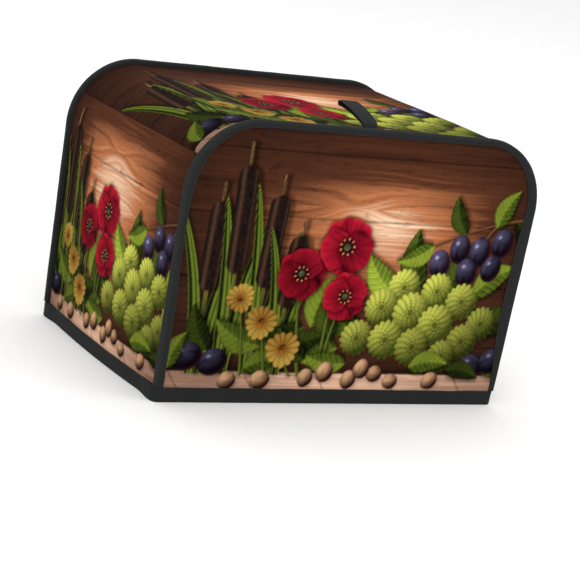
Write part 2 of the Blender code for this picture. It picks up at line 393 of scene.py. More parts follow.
class Nodes:
    """Short ways to make and join shader nodes."""

    def __init__(self, name: str) -> None:
        """Makes a material with a Principled shader.

        Args:
            name: The material's name.
        """
        self.material = bpy.data.materials.new(name)
        self.material.use_nodes = True
        self.tree = self.material.node_tree
        self.shader = self.tree.nodes["Principled BSDF"]

    def add(self, kind: str, **settings: object) -> bpy.types.Node:
        """Makes a node and sets its properties by name."""
        node = self.tree.nodes.new(kind)
        for key, value in settings.items():
            setattr(node, key, value)
        return node

    def link(self, source: bpy.types.NodeSocket, target: bpy.types.NodeSocket) -> None:
        """Joins two sockets."""
        self.tree.links.new(source, target)

    def math(self, operation: str, first: object, second: object = 0.0) -> bpy.types.NodeSocket:
        """A Math node on sockets or plain numbers.

        Args:
            operation: Blender's name of the operation.
            first: A socket or a number.
            second: A socket or a number.

        Returns:
            The result's socket.
        """
        node = self.add("ShaderNodeMath", operation=operation)
        for socket, value in zip(node.inputs, (first, second)):
            if isinstance(value, bpy.types.NodeSocket):
                self.link(value, socket)
            else:
                socket.default_value = value
        return node.outputs[0]

    def ranged(self, value: bpy.types.NodeSocket, low: float, high: float) -> bpy.types.NodeSocket:
        """Maps a value from 0 to 1 onto low to high."""
        return self.math("ADD", self.math("MULTIPLY", value, high - low), low)

    def scaled(self, source: bpy.types.NodeSocket, scale: tuple[float, float, float], turn: float = 0.0) -> object:
        """A Mapping node that turns coordinates about Z and scales them.

        Args:
            source: The coordinates.
            scale: Factor along each axis.
            turn: Degrees about Z.

        Returns:
            The mapped coordinates' socket.
        """
        node = self.add("ShaderNodeMapping")
        node.inputs["Scale"].default_value = scale
        node.inputs["Rotation"].default_value = (0.0, 0.0, math.radians(turn))
        self.link(source, node.inputs["Vector"])
        return node.outputs["Vector"]

    def noise(self, place: bpy.types.NodeSocket, scale: float, detail: float = 2.0) -> bpy.types.NodeSocket:
        """A Noise node's value at these coordinates."""
        node = self.add("ShaderNodeTexNoise")
        node.inputs["Scale"].default_value = scale
        node.inputs["Detail"].default_value = detail
        self.link(place, node.inputs["Vector"])
        return node.outputs["Fac"]

    def threads(self, place: bpy.types.NodeSocket, axis: str, pitch: float) -> bpy.types.NodeSocket:
        """Rounded ridges, one each pitch along an axis: a sine between 0 and 1."""
        node = self.add("ShaderNodeTexWave", wave_type="BANDS", bands_direction=axis, wave_profile="SIN")
        node.inputs["Scale"].default_value = math.pi / (10.0 * pitch)
        self.link(place, node.inputs["Vector"])
        return node.outputs["Fac"]

    def shaded(self, colour: bpy.types.NodeSocket, light: bpy.types.NodeSocket) -> bpy.types.NodeSocket:
        """A colour made lighter or darker by a factor about 1."""
        node = self.add("ShaderNodeVectorMath", operation="SCALE")
        self.link(colour, node.inputs[0])
        self.link(light, node.inputs["Scale"])
        return node.outputs[0]

    def mixed(self, share: bpy.types.NodeSocket, first: object, second: object) -> bpy.types.NodeSocket:
        """A mix of two colours, each a socket or a plain colour."""
        node = self.add("ShaderNodeMix", data_type="RGBA")
        self.link(share, node.inputs[0])
        for socket, value in zip((node.inputs[6], node.inputs[7]), (first, second)):
            if isinstance(value, bpy.types.NodeSocket):
                self.link(value, socket)
            else:
                socket.default_value = (*value, 1.0)
        return node.outputs[2]

    def bump(self, height: bpy.types.NodeSocket, distance: float, strength: float = 1.0) -> None:
        """Feeds a height, from 0 to 1, into the shader's normal, as relief of this many metres."""
        node = self.add("ShaderNodeBump")
        node.inputs["Distance"].default_value = distance
        node.inputs["Strength"].default_value = strength
        self.link(height, node.inputs["Height"])
        self.link(node.outputs["Normal"], self.shader.inputs["Normal"])


@dataclass(frozen=True)
class PrintedCloth:
    """Smooth printed polyester: the print comes from the piece, the yarns with painted shade between them and the
    finest grain from nodes.
    """

    name: str = "printed_polyester"
    yarn: float = 0.00055
    yarn_relief: float = 0.00007
    grain_length: float = 0.060
    grain_width: float = 0.0009
    grain_depth: float = 0.30
    roughness: tuple[float, float] = (0.58, 0.78)
    gloss: float = 0.01

    def material(self) -> bpy.types.Material:
        """Makes the material.

        Returns:
            A material that reads the point attributes print and ground and the UV map of the cloth.
        """
        n = Nodes(self.name)
        colour = n.add("ShaderNodeAttribute", attribute_name="print").outputs["Color"]
        ground = n.add("ShaderNodeAttribute", attribute_name="ground").outputs["Fac"]
        place = n.add("ShaderNodeUVMap", uv_map="cloth").outputs["UV"]
        grain_place = n.scaled(place, (1 / self.grain_length, 1 / self.grain_width, 1.0))
        grain = n.noise(grain_place, 1.0, 3.0)
        grain_light = n.math("ADD", n.math("MULTIPLY", n.math("SUBTRACT", grain, 0.5), self.grain_depth * 2), 1.0)
        grain_shift = n.math("MULTIPLY", n.math("SUBTRACT", grain_light, 1.0), ground)
        weft = n.threads(place, "X", self.yarn)
        warp = n.threads(place, "Y", self.yarn)
        weave = n.math("MULTIPLY", n.math("ADD", weft, warp), 0.5)
        uneven = n.noise(n.scaled(place, (260.0, 260.0, 1.0)), 1.0, 3.0)
        # painted shade and painted light: the weave darkens the print between the yarns and lightens it on their
        # crowns
        light = n.math("ADD", n.ranged(weave, 0.94, 1.05), grain_shift)
        light = n.math("MULTIPLY", light, n.ranged(uneven, 0.93, 1.07))
        n.link(n.shaded(colour, light), n.shader.inputs["Base Color"])
        n.link(n.ranged(uneven, *self.roughness), n.shader.inputs["Roughness"])
        n.bump(weave, self.yarn_relief, 0.6)
        n.shader.inputs["Specular IOR Level"].default_value = self.gloss
        return n.material


@dataclass(frozen=True)
class WovenTape:
    """Charcoal binding tape: fine ribs across its length, painted darker in their hollows and lighter on their crowns,
    mottled, and paler where its edges rub.
    """

    name: str = "charcoal_tape"
    colour: tuple[float, float, float] = (37.0, 38.0, 38.0)
    worn: tuple[float, float, float] = (52.0, 53.0, 53.0)
    rib: float = 0.00070
    rib_relief: float = 0.00010
    roughness: tuple[float, float] = (0.62, 0.82)
    sheen: float = 0.01
    gloss: float = 0.05

    def material(self) -> bpy.types.Material:
        """Makes the material.

        Returns:
            A material that reads the point attribute wear and the UV map of the tape.
        """
        n = Nodes(self.name)
        place = n.add("ShaderNodeUVMap", uv_map="cloth").outputs["UV"]
        wear = n.add("ShaderNodeAttribute", attribute_name="wear").outputs["Fac"]
        ribs = n.threads(place, "X", self.rib)
        yarns = n.threads(n.scaled(place, (1.0, 1.0, 1.0), 45.0), "Y", self.rib * 0.6)
        mottle = n.noise(n.scaled(place, (420.0, 420.0, 1.0)), 1.0, 4.0)
        rubbed = n.math("MULTIPLY", wear, n.ranged(mottle, 0.2, 0.9))
        base = n.mixed(rubbed, tuple(linear(self.colour)), tuple(linear(self.worn)))
        # painted shade and painted light: the ribs darken the colour in their hollows and lighten it on their crowns
        light = n.math("MULTIPLY", n.ranged(ribs, 0.86, 1.08), n.ranged(mottle, 0.84, 1.16))
        n.link(n.shaded(base, light), n.shader.inputs["Base Color"])
        n.link(n.ranged(mottle, *self.roughness), n.shader.inputs["Roughness"])
        height = n.math("ADD", n.math("MULTIPLY", ribs, 0.7), n.math("MULTIPLY", yarns, 0.3))
        n.bump(height, self.rib_relief, 0.7)
        n.shader.inputs["Sheen Weight"].default_value = self.sheen
        n.shader.inputs["Sheen Roughness"].default_value = 0.5
        n.shader.inputs["Specular IOR Level"].default_value = self.gloss
        return n.material


@dataclass(frozen=True)
class Thread:
    """Charcoal sewing thread, twisted, with painted shade in the grooves of its twist and painted light on its ridges.
    """

    name: str = "charcoal_thread"
    colour: tuple[float, float, float] = (40.0, 41.0, 41.0)
    twist: float = 0.0005
    gloss: float = 0.10

    def material(self) -> bpy.types.Material:
        """Makes the material, whose twist runs slantwise in Object coordinates and is painted darker in its grooves
        and lighter on its ridges.
        """
        n = Nodes(self.name)
        place = n.add("ShaderNodeTexCoord").outputs["Object"]
        twist = n.threads(place, "DIAGONAL", self.twist)
        # painted shade and painted light: a darker and a lighter copy of the thread's colour, laid along the twist's
        # ridges
        base = n.mixed(twist, tuple(linear(self.colour) * 0.7), tuple(linear(self.colour) * 1.2))
        n.link(base, n.shader.inputs["Base Color"])
        n.link(n.ranged(twist, 0.60, 0.75), n.shader.inputs["Roughness"])
        n.shader.inputs["Specular IOR Level"].default_value = self.gloss
        n.bump(twist, 0.00005)
        return n.material


@dataclass(frozen=True)
class PaleFloor:
    """A plain pale matt floor with a faint mottle."""

    name: str = "pale_floor"
    colour: tuple[float, float, float] = (0.96, 0.96, 0.96)

    def material(self) -> bpy.types.Material:
        """Makes the material."""
        n = Nodes(self.name)
        place = n.add("ShaderNodeTexCoord").outputs["Object"]
        mottle = n.noise(place, 3.0, 2.0)
        base = n.mixed(mottle, tuple(0.985 * c for c in self.colour), self.colour)
        n.link(base, n.shader.inputs["Base Color"])
        n.shader.inputs["Roughness"].default_value = 0.7
        return n.material


@dataclass(frozen=True)
class Stitching:
    """Sewn rows of short thread lengths, each a small arched capsule that dips into the cloth at its ends."""

    pitch: float = 0.0032
    length: float = 0.0025
    thickness: float = 0.00046
    arch: float = 0.00022
    rings: int = 5
    sides: int = 6

    def surface(self, centres: np.ndarray, along: np.ndarray, outward: np.ndarray, cover: Cover) -> Surface:
        """Builds one joined surface of all the stitches of a row.

        Along a stitch t runs from -1 to 1. Its middle rises by the arch times 1 - 2t^2, and its radius is half the
        thickness times the square root of 1 - 0.6 t^2.

        Args:
            centres: The middle of each stitch on the true box, on the surface of the cloth.
            along: The unit direction of the row at each.
            outward: The unit direction out of the cloth at each.
            cover: The cover, whose settling rule is applied.

        Returns:
            The surface, settled.
        """
        across = np.cross(outward, along)
        t = np.linspace(-1, 1, self.rings)[None, :, None, None]
        turn = (np.arange(self.sides) * 2 * math.pi / self.sides)[None, None, :, None]
        radius = self.thickness / 2 * np.sqrt(1 - 0.6 * t**2)
        rise = self.arch * (1 - 2 * t**2)
        a, o, c = (v[:, None, None, :] for v in (along, outward, across))
        spread = radius * (np.cos(turn) * c + np.sin(turn) * o)
        points = centres[:, None, None, :] + t * self.length / 2 * a + rise * o + spread
        count, block = len(centres), self.rings * self.sides
        one = grid_indices(self.rings, self.sides)
        one = grid_faces(np.concatenate([one, one[:, :1]], axis=1))
        shift = (np.arange(count) * block)[:, None, None]
        caps = np.stack([np.arange(self.sides)[::-1], np.arange(block - self.sides, block)])
        surface = Surface(cover.settle(points).reshape(-1, 3))
        surface.add_faces((one[None] + shift).reshape(-1, 4))
        surface.add_faces((caps[None] + shift).reshape(-1, self.sides))
        return surface


@dataclass
class Canvas:
    """The picture on one panel in the making: a linear colour and a share of bare wood for each point."""

    u: np.ndarray
    v: np.ndarray
    soft: float = 0.0010
    light: tuple[float, float, float] = (-0.42, 0.56, 0.72)

    def __post_init__(self) -> None:
        """Starts with no colour and all of it bare."""
        self.colour = np.zeros((*self.u.shape, 3))
        self.ground = np.ones(self.u.shape)

    def local(self, x: float, y: float, turn: float, reach: float) -> tuple[np.ndarray, np.ndarray, np.ndarray]:
        """The points within reach of a place, and their coordinates in a frame turned there.

        Args:
            x: First coordinate of the place.
            y: Second coordinate.
            turn: Degrees that the frame is turned, anticlockwise.
            reach: Half the side of the square that is looked at.

        Returns:
            Which points are near, and how far along and across the turned frame each lies.
        """
        near = (np.abs(self.u - x) < reach) & (np.abs(self.v - y) < reach)
        du, dv = self.u[near] - x, self.v[near] - y
        cos, sin = math.cos(math.radians(turn)), math.sin(math.radians(turn))
        return near, du * cos + dv * sin, dv * cos - du * sin

    def inside(self, distance: np.ndarray) -> np.ndarray:
        """How far a point is covered, from its signed distance to an edge, over one soft pixel."""
        return smooth(0.5 - distance / self.soft)

    def lay(self, near: np.ndarray, share: np.ndarray, colour: np.ndarray) -> None:
        """Lays a colour over the picture where its share is above 0."""
        kept = (1 - share)[:, None]
        self.colour[near] = self.colour[near] * kept + colour * share[:, None]
        self.ground[near] *= 1 - share

    def darken(self, near: np.ndarray, share: np.ndarray) -> None:
        """Darkens the picture by a share at each point."""
        self.colour[near] *= (1 - share)[:, None]


def blend(low: np.ndarray, high: np.ndarray, share: np.ndarray) -> np.ndarray:
    """A colour between two, for each value of share."""
    share = np.clip(share, 0, 1)[:, None]
    return low * (1 - share) + high * share


@dataclass(frozen=True)
class Motif:
    """Something that is painted at a place, with a size and a turn in degrees."""

    x: float
    y: float
    size: float
    turn: float = 0.0
    tone: float = 1.0

    def shadow(self, canvas: Canvas, reach: float, depth: float = 0.5) -> None:
        """A soft round shadow, down and to the right: darkness that falls as a smooth step from its middle."""
        drop = 0.16 * reach
        near, a, b = canvas.local(self.x + drop, self.y - drop, 0.0, 1.5 * reach)
        canvas.darken(near, depth * smooth(1.25 - np.hypot(a, b) / reach))


    def shaded(self, shade: np.ndarray) -> np.ndarray:
        """The motif's own colour from its dark to its light, dimmed by its tone."""
        return blend(linear(self.dark), linear(self.light), shade) * self.tone


@dataclass(frozen=True)
class Leaf(Motif):
    """A pointed leaf that grows from its place: a bulged sine outline, a midrib and slanting veins."""

    light: tuple[float, float, float] = (176, 204, 52)
    dark: tuple[float, float, float] = (62, 92, 18)
    width: float = 0.48
    bend: float = 0.10

    def lay(self, canvas: Canvas) -> None:
        """Paints the leaf.

        The half width is the sine of pi t^0.72 to the power 0.85 with small teeth, t running from stalk to tip. The
        midrib bends as a parabola. One half catches more light, and each vein is a pale line with a dark one by it.
        """
        cos, sin = math.cos(math.radians(self.turn)), math.sin(math.radians(self.turn))
        mid_x, mid_y = self.x + 0.5 * self.size * cos, self.y + 0.5 * self.size * sin
        near, a, b = canvas.local(mid_x, mid_y, self.turn, 0.75 * self.size)
        t = a / self.size + 0.5
        b = b - self.bend * self.size * 4 * t * (1 - t)
        inner = np.clip(t, 0, 1)
        teeth = 1 + 0.07 * np.abs(((inner * 11) % 1) - 0.5)
        half = 0.5 * self.width * self.size * np.sin(math.pi * inner**0.72) ** 0.85 * teeth
        edge = np.where((t < 0) | (t > 1), 0.01, np.abs(b) - half)
        share = b / np.maximum(half, 1e-6)
        seed = int(1e6 * abs(self.x + 2 * self.y)) % 997
        drop = 0.0022
        shift = np.where((t < 0) | (t > 1), 0.01, np.abs(b + drop) - half)
        canvas.darken(near, 0.55 * smooth(0.6 - shift / 0.0035))
        vein = ((inner * self.size - np.abs(b) * 0.75) / (self.size / 8.5)) % 1
        pale = np.exp(-(((vein - 0.5) / 0.10) ** 2)) * smooth(np.abs(share) * 4)
        hollow = np.exp(-(((vein - 0.30) / 0.12) ** 2))
        rib = np.exp(-((b / 0.0006) ** 2))
        mottle = layered_noise(a / 0.004, b / 0.004, seed, 3)
        fold = 0.5 + 0.5 * np.tanh(3.2 * share)
        shade = 0.18 + 0.62 * fold * (1 - 0.45 * np.abs(share)) + 0.25 * (mottle - 0.5)
        shade = shade + 0.24 * pale - 0.20 * hollow + 0.30 * rib - 0.25 * smooth(1 + edge / 0.0016)
        canvas.lay(near, canvas.inside(edge), self.shaded(shade))


@dataclass(frozen=True)
class Stroke:
    """A stem or twig along a curve that three places bend, thinner towards its end."""

    start: tuple[float, float]
    pull: tuple[float, float]
    end: tuple[float, float]
    thick: float = 0.0012
    light: tuple[float, float, float] = (112, 124, 46)
    dark: tuple[float, float, float] = (24, 30, 10)

    def lay(self, canvas: Canvas) -> None:
        """Paints the points whose distance to the nearest of 24 short pieces of the curve is below the half width."""
        a, b, c = (np.array(place) for place in (self.start, self.pull, self.end))
        t = np.linspace(0, 1, 25)[:, None]
        line = (1 - t) ** 2 * a + 2 * t * (1 - t) * b + t**2 * c
        middle, reach = line.mean(axis=0), np.ptp(line, axis=0).max() * 0.62 + 0.006
        near, du, dv = canvas.local(*middle, 0.0, reach)
        from_start = np.stack([du, dv], axis=1)[:, None] + middle - line[None, :-1]
        step = np.diff(line, axis=0)
        share = np.clip((from_start * step).sum(axis=2) / (step**2).sum(axis=1), 0, 1)
        away = from_start - share[..., None] * step
        distance = np.hypot(away[..., 0], away[..., 1])
        nearest = distance.argmin(axis=1)
        rows = np.arange(len(du))
        half = self.thick * (1 - 0.5 * (nearest + share[rows, nearest]) / len(step))
        edge = distance[rows, nearest] - half
        canvas.darken(near, 0.40 * smooth(1 - edge / 0.0030))
        side = (away[..., 1] - away[..., 0])[rows, nearest] / np.maximum(half, 1e-6)
        canvas.lay(near, canvas.inside(edge), blend(linear(self.dark), linear(self.light), 0.45 + 0.4 * side))


@dataclass(frozen=True)
class Pompon(Motif):
    """A full round blossom with rings of short petals, one over the other."""

    light: tuple[float, float, float] = (228, 232, 98)
    dark: tuple[float, float, float] = (34, 48, 6)
    petals: int = 17
    rings: int = 6

    def lay(self, canvas: Canvas) -> None:
        """Paints the rings from the outside in.

        A ring's edge is its radius times 0.82 plus 0.18 of the root of |cos(n angle / 2)|, so that it has n petals.
        A petal is dark at its root and bright towards its tip, and the whole blossom is lit as a ball.
        """
        self.shadow(canvas, 1.05 * self.size, 0.62)
        near, a, b = canvas.local(self.x, self.y, self.turn, 1.15 * self.size)
        radius, angle = np.hypot(a, b), np.arctan2(b, a)
        ball = np.clip(radius / self.size, 0, 1)
        up = np.sqrt(1 - ball**2)
        cos, sin = math.cos(math.radians(self.turn)), math.sin(math.radians(self.turn))
        right, above = (a * cos - b * sin) / self.size, (a * sin + b * cos) / self.size
        lit = np.clip(canvas.light[0] * right + canvas.light[1] * above + canvas.light[2] * up, 0, 1)
        for ring in range(self.rings):
            reach = self.size * (1 - ring / self.rings) ** 0.80
            count = max(5, round(self.petals * (1 - 0.12 * ring)))
            wave = np.abs(np.cos(0.5 * count * (angle + 1.7 * ring)))
            edge = radius - reach * (0.80 + 0.20 * np.sqrt(wave))
            root = smooth((radius / reach - 0.55) / 0.42)
            shade = (0.08 + 0.98 * lit**1.5) * (0.28 + 0.72 * root) * (0.42 + 0.58 * wave**0.6)
            shade = shade + 0.10 * (layered_noise(a / 0.002, b / 0.002, ring + 5, 2) - 0.5)
            canvas.lay(near, canvas.inside(edge), self.shaded(shade))


@dataclass(frozen=True)
class Poppy(Motif):
    """A silky deep red flower of five overlapping petals round a dark middle."""

    light: tuple[float, float, float] = (190, 26, 50)
    dark: tuple[float, float, float] = (44, 2, 10)
    petals: int = 5

    def lay(self, canvas: Canvas) -> None:
        """Paints the petals as rounded discs set off from the middle, with wavy rims and fine radial creases."""
        self.shadow(canvas, 1.05 * self.size, 0.62)
        for k in range(self.petals):
            around = self.turn + k * 360.0 * 2 / self.petals
            cos, sin = math.cos(math.radians(around)), math.sin(math.radians(around))
            off = 0.42 * self.size
            near, a, b = canvas.local(self.x + off * cos, self.y + off * sin, around, 0.95 * self.size)
            angle = np.arctan2(b, a + off)
            radius = np.hypot(a + off, b)
            rim = 0.62 * self.size * (1 + 0.05 * np.sin(5 * np.arctan2(b, a) + k) + 0.03 * np.sin(11 * angle + 2 * k))
            edge = np.hypot(a, 0.86 * b) - rim
            canvas.darken(near, 0.55 * smooth(0.9 - edge / 0.0035) * (edge > 0))
            crease = layered_noise(angle * 9.0, radius / 0.02, 13 + k, 3)
            facing = 0.5 - 0.5 * (cos * 0.5 - sin * 0.75)
            shade = 0.10 + 0.75 * smooth(radius / self.size) * (0.45 + 0.55 * facing) + 0.55 * (crease - 0.5)
            shade = shade + 0.35 * np.exp(-(((edge + 0.0012) / 0.0009) ** 2)) * facing
            shade = shade - 0.35 * smooth((np.abs(b) - 0.45 * self.size) / (0.25 * self.size))
            canvas.lay(near, canvas.inside(edge), self.shaded(shade))
        near, a, b = canvas.local(self.x, self.y, self.turn, 0.45 * self.size)
        radius, angle = np.hypot(a, b), np.arctan2(b, a)
        canvas.darken(near, 0.75 * smooth(1.5 - radius / (0.26 * self.size)))
        dots = np.cos(9 * angle) * np.exp(-(((radius - 0.27 * self.size) / (0.05 * self.size)) ** 2))
        canvas.lay(near, 0.8 * smooth(dots * 2 - 0.5), np.broadcast_to(linear((196, 150, 92)), (*a.shape, 3)))
        heart = blend(linear((20, 14, 20)), linear((92, 100, 70)), 0.5 + 0.6 * (b - a) / (0.3 * self.size))
        canvas.lay(near, canvas.inside(radius - 0.13 * self.size), heart)


@dataclass(frozen=True)
class Plum(Motif):
    """A dark oval fruit with a pale bloom, a shallow crease and a soft highlight."""

    bloom: tuple[float, float, float] = (112, 104, 142)
    skin: tuple[float, float, float] = (30, 16, 32)
    stretch: float = 1.22

    def lay(self, canvas: Canvas) -> None:
        """Paints the fruit as an ellipsoid.

        The light is the slope towards it. The bloom is noise in patches, most where the light falls, and a warm
        glow runs along the lower rim.
        """
        self.shadow(canvas, 1.1 * self.size, 0.65)
        near, a, b = canvas.local(self.x, self.y, self.turn, 1.4 * self.size)
        along, across = a / (self.stretch * self.size), b / self.size
        out = np.hypot(along, across)
        up = np.sqrt(np.clip(1 - out**2, 0, 1))
        cos, sin = math.cos(math.radians(self.turn)), math.sin(math.radians(self.turn))
        right, above = along * cos - across * sin, along * sin + across * cos
        lit = np.clip(canvas.light[0] * right + canvas.light[1] * above + canvas.light[2] * up, 0, 1)
        patch = layered_noise(a / 0.004, b / 0.003, int(1e5 * abs(self.x)) % 97, 3)
        crease = np.exp(-(((across - 0.30 * np.sqrt(np.clip(1 - along**2, 0, 1))) / 0.12) ** 2))
        shade = lit**2.4 * (0.25 + 0.9 * patch) - 0.12 * crease
        colour = blend(linear(self.skin) * 0.55, linear(self.bloom), shade)
        glow = smooth((out - 0.70) / 0.30) * np.clip(right - above, 0, 1)
        colour = colour + glow[:, None] * linear((96, 38, 50)) * 0.45
        shine = np.exp(-(((right + 0.34) / 0.13) ** 2) - ((above - 0.42) / 0.10) ** 2)
        colour = colour + (0.75 * shine)[:, None] * linear((225, 225, 245))
        canvas.lay(near, canvas.inside((out - 1) * self.size), colour * self.tone)


@dataclass(frozen=True)
class Reed(Motif):
    """A reed mace: a long dark velvet head on a stalk, with a thin spike above it. Its size is its height."""

    head: float = 0.46
    thick: float = 0.0068
    lean: float = 0.0

    def lay(self, canvas: Canvas) -> None:
        """Paints the stalk, the spike and the head, each shaded across as a cylinder with one narrow highlight."""
        near, a, b = canvas.local(self.x, self.y + 0.5 * self.size, 0.0, 0.56 * self.size)
        t = b / self.size + 0.5
        a = a - self.lean * self.size * t**2
        for low, high, half, dark, light in (
            (0.0, 0.62, 0.0016, (40, 44, 18), (150, 150, 70)),
            (0.60, 1.0, 0.0010, (52, 36, 22), (176, 140, 90)),
            (1 - self.head - 0.10, 0.90, self.thick, (6, 6, 8), (88, 60, 46)),
        ):
            middle, length = 0.5 * (low + high) * self.size, 0.5 * (high - low) * self.size
            past = np.maximum(np.abs(t * self.size - middle) - (length - half), 0)
            edge = np.hypot(past, a) - half
            canvas.darken(near, 0.60 * smooth(0.8 - (np.hypot(past, a - 0.003) - half) / 0.004))
            across = np.clip(a / half, -1, 1)
            nap = layered_noise(a / 0.0012, t * self.size / 0.0016, 31, 2)
            shade = 0.10 + 0.55 * np.exp(-(((across + 0.45) / 0.20) ** 2)) + 0.22 * (nap - 0.5)
            shade = shade + 0.25 * np.exp(-(((across - 0.75) / 0.12) ** 2))
            canvas.lay(near, canvas.inside(edge), blend(linear(dark), linear(light), shade))


@dataclass(frozen=True)
class Blade(Motif):
    """A long narrow leaf of a reed, that leans over at its tip. Its size is its height."""

    thick: float = 0.0045
    lean: float = 0.25
    light: tuple[float, float, float] = (120, 140, 44)
    dark: tuple[float, float, float] = (20, 28, 10)

    def lay(self, canvas: Canvas) -> None:
        """Paints a strip whose middle leans as t^2.2 and whose half width narrows as the root of 1 - t^2."""
        near, a, b = canvas.local(self.x, self.y + 0.5 * self.size, 0.0, 0.62 * self.size)
        t = b / self.size + 0.5
        inner = np.clip(t, 0, 1)
        a = a - self.lean * self.size * inner**2.2
        half = self.thick * np.sqrt(1 - inner**2) * (0.55 + 0.45 * smooth(inner * 3))
        edge = np.where((t < 0) | (t > 1), 0.01, (np.abs(a) - half) * 0.9)
        canvas.darken(near, 0.5 * smooth(0.6 - (np.abs(a - 0.003) - half) / 0.004) * ((t > 0) & (t < 1)))
        across = a / np.maximum(half, 1e-6)
        shade = 0.30 + 0.35 * np.cos(6.5 * across) * (np.abs(across) < 1) + 0.25 * np.tanh(3 * across)
        canvas.lay(near, canvas.inside(edge), self.shaded(shade))


@dataclass(frozen=True)
class Nut(Motif):
    """A hazelnut: a tan ball drawn out to a point, with fine stripes and a rough paler end."""

    light: tuple[float, float, float] = (240, 186, 140)
    dark: tuple[float, float, float] = (52, 24, 14)

    def lay(self, canvas: Canvas) -> None:
        """Paints a disc that narrows to a point, shaded as a ball, striped along its length."""
        self.shadow(canvas, 1.15 * self.size, 0.65)
        near, a, b = canvas.local(self.x, self.y, self.turn, 1.5 * self.size)
        along, across = a / (1.12 * self.size), b / self.size
        out = np.hypot(along, across * (1 + 0.30 * np.clip(along, 0, 1) ** 2))
        up = np.sqrt(np.clip(1 - out**2, 0, 1))
        cos, sin = math.cos(math.radians(self.turn)), math.sin(math.radians(self.turn))
        right, above = along * cos - across * sin, along * sin + across * cos
        lit = np.clip(canvas.light[0] * right + canvas.light[1] * above + canvas.light[2] * up, 0, 1)
        stripes = layered_noise(across * 7, along * 0.9, 7, 2)
        end = smooth((-along - 0.45) / 0.15)
        shade = lit**1.7 * (0.78 + 0.9 * (stripes - 0.5)) + 0.16 * end * lit + 0.3 * lit**8
        canvas.lay(near, canvas.inside((out - 1) * self.size), self.shaded(shade))


@dataclass(frozen=True)
class Daisy(Motif):
    """An open flower with one ring of long golden petals, notched apart, round a brown button."""

    light: tuple[float, float, float] = (246, 200, 92)
    dark: tuple[float, float, float] = (150, 78, 18)
    petals: int = 14

    def lay(self, canvas: Canvas) -> None:
        """Paints the petals by |cos(n angle / 2)| against the radius, then the button as a stippled ball."""
        self.shadow(canvas, 0.95 * self.size, 0.55)
        near, a, b = canvas.local(self.x, self.y, self.turn, 1.15 * self.size)
        radius, angle = np.hypot(a, b), np.arctan2(b, a)
        wave = np.abs(np.cos(0.5 * self.petals * angle))
        long = 1 + 0.06 * np.sin(3 * angle + 1) + 0.04 * np.sin(7 * angle)
        edge = radius - self.size * long * (0.80 + 0.20 * np.sqrt(wave))
        streak = layered_noise(angle * 26, radius / 0.01, 3, 2)
        petal = smooth(radius / (0.8 * self.size))
        shade = (0.12 + 0.74 * petal) * (0.15 + 0.85 * wave**0.5) + 0.30 * (streak - 0.5)
        shade = shade + 0.25 * (b - a) / self.size
        canvas.lay(near, canvas.inside(edge), self.shaded(shade))
        button = 0.27 * self.size
        dots = layered_noise(a / 0.0010, b / 0.0010, 19, 2)
        shade = 0.15 + 0.9 * (dots - 0.3) + 0.5 * (b - a) / button * 0.5
        brown = blend(linear((44, 20, 8)), linear((170, 104, 36)), shade)
        canvas.lay(near, canvas.inside(radius - button), brown)


@dataclass(frozen=True)
class Scene:
    """Where a panel's wood, glow and shelf lie, and how its sprays are set out."""

    width: float
    height: float
    glow: tuple[float, float]
    glow_size: tuple[float, float] = (0.080, 0.046)
    shelf: float = 0.024
    seed: int = 5
    shrink: float = 1.0


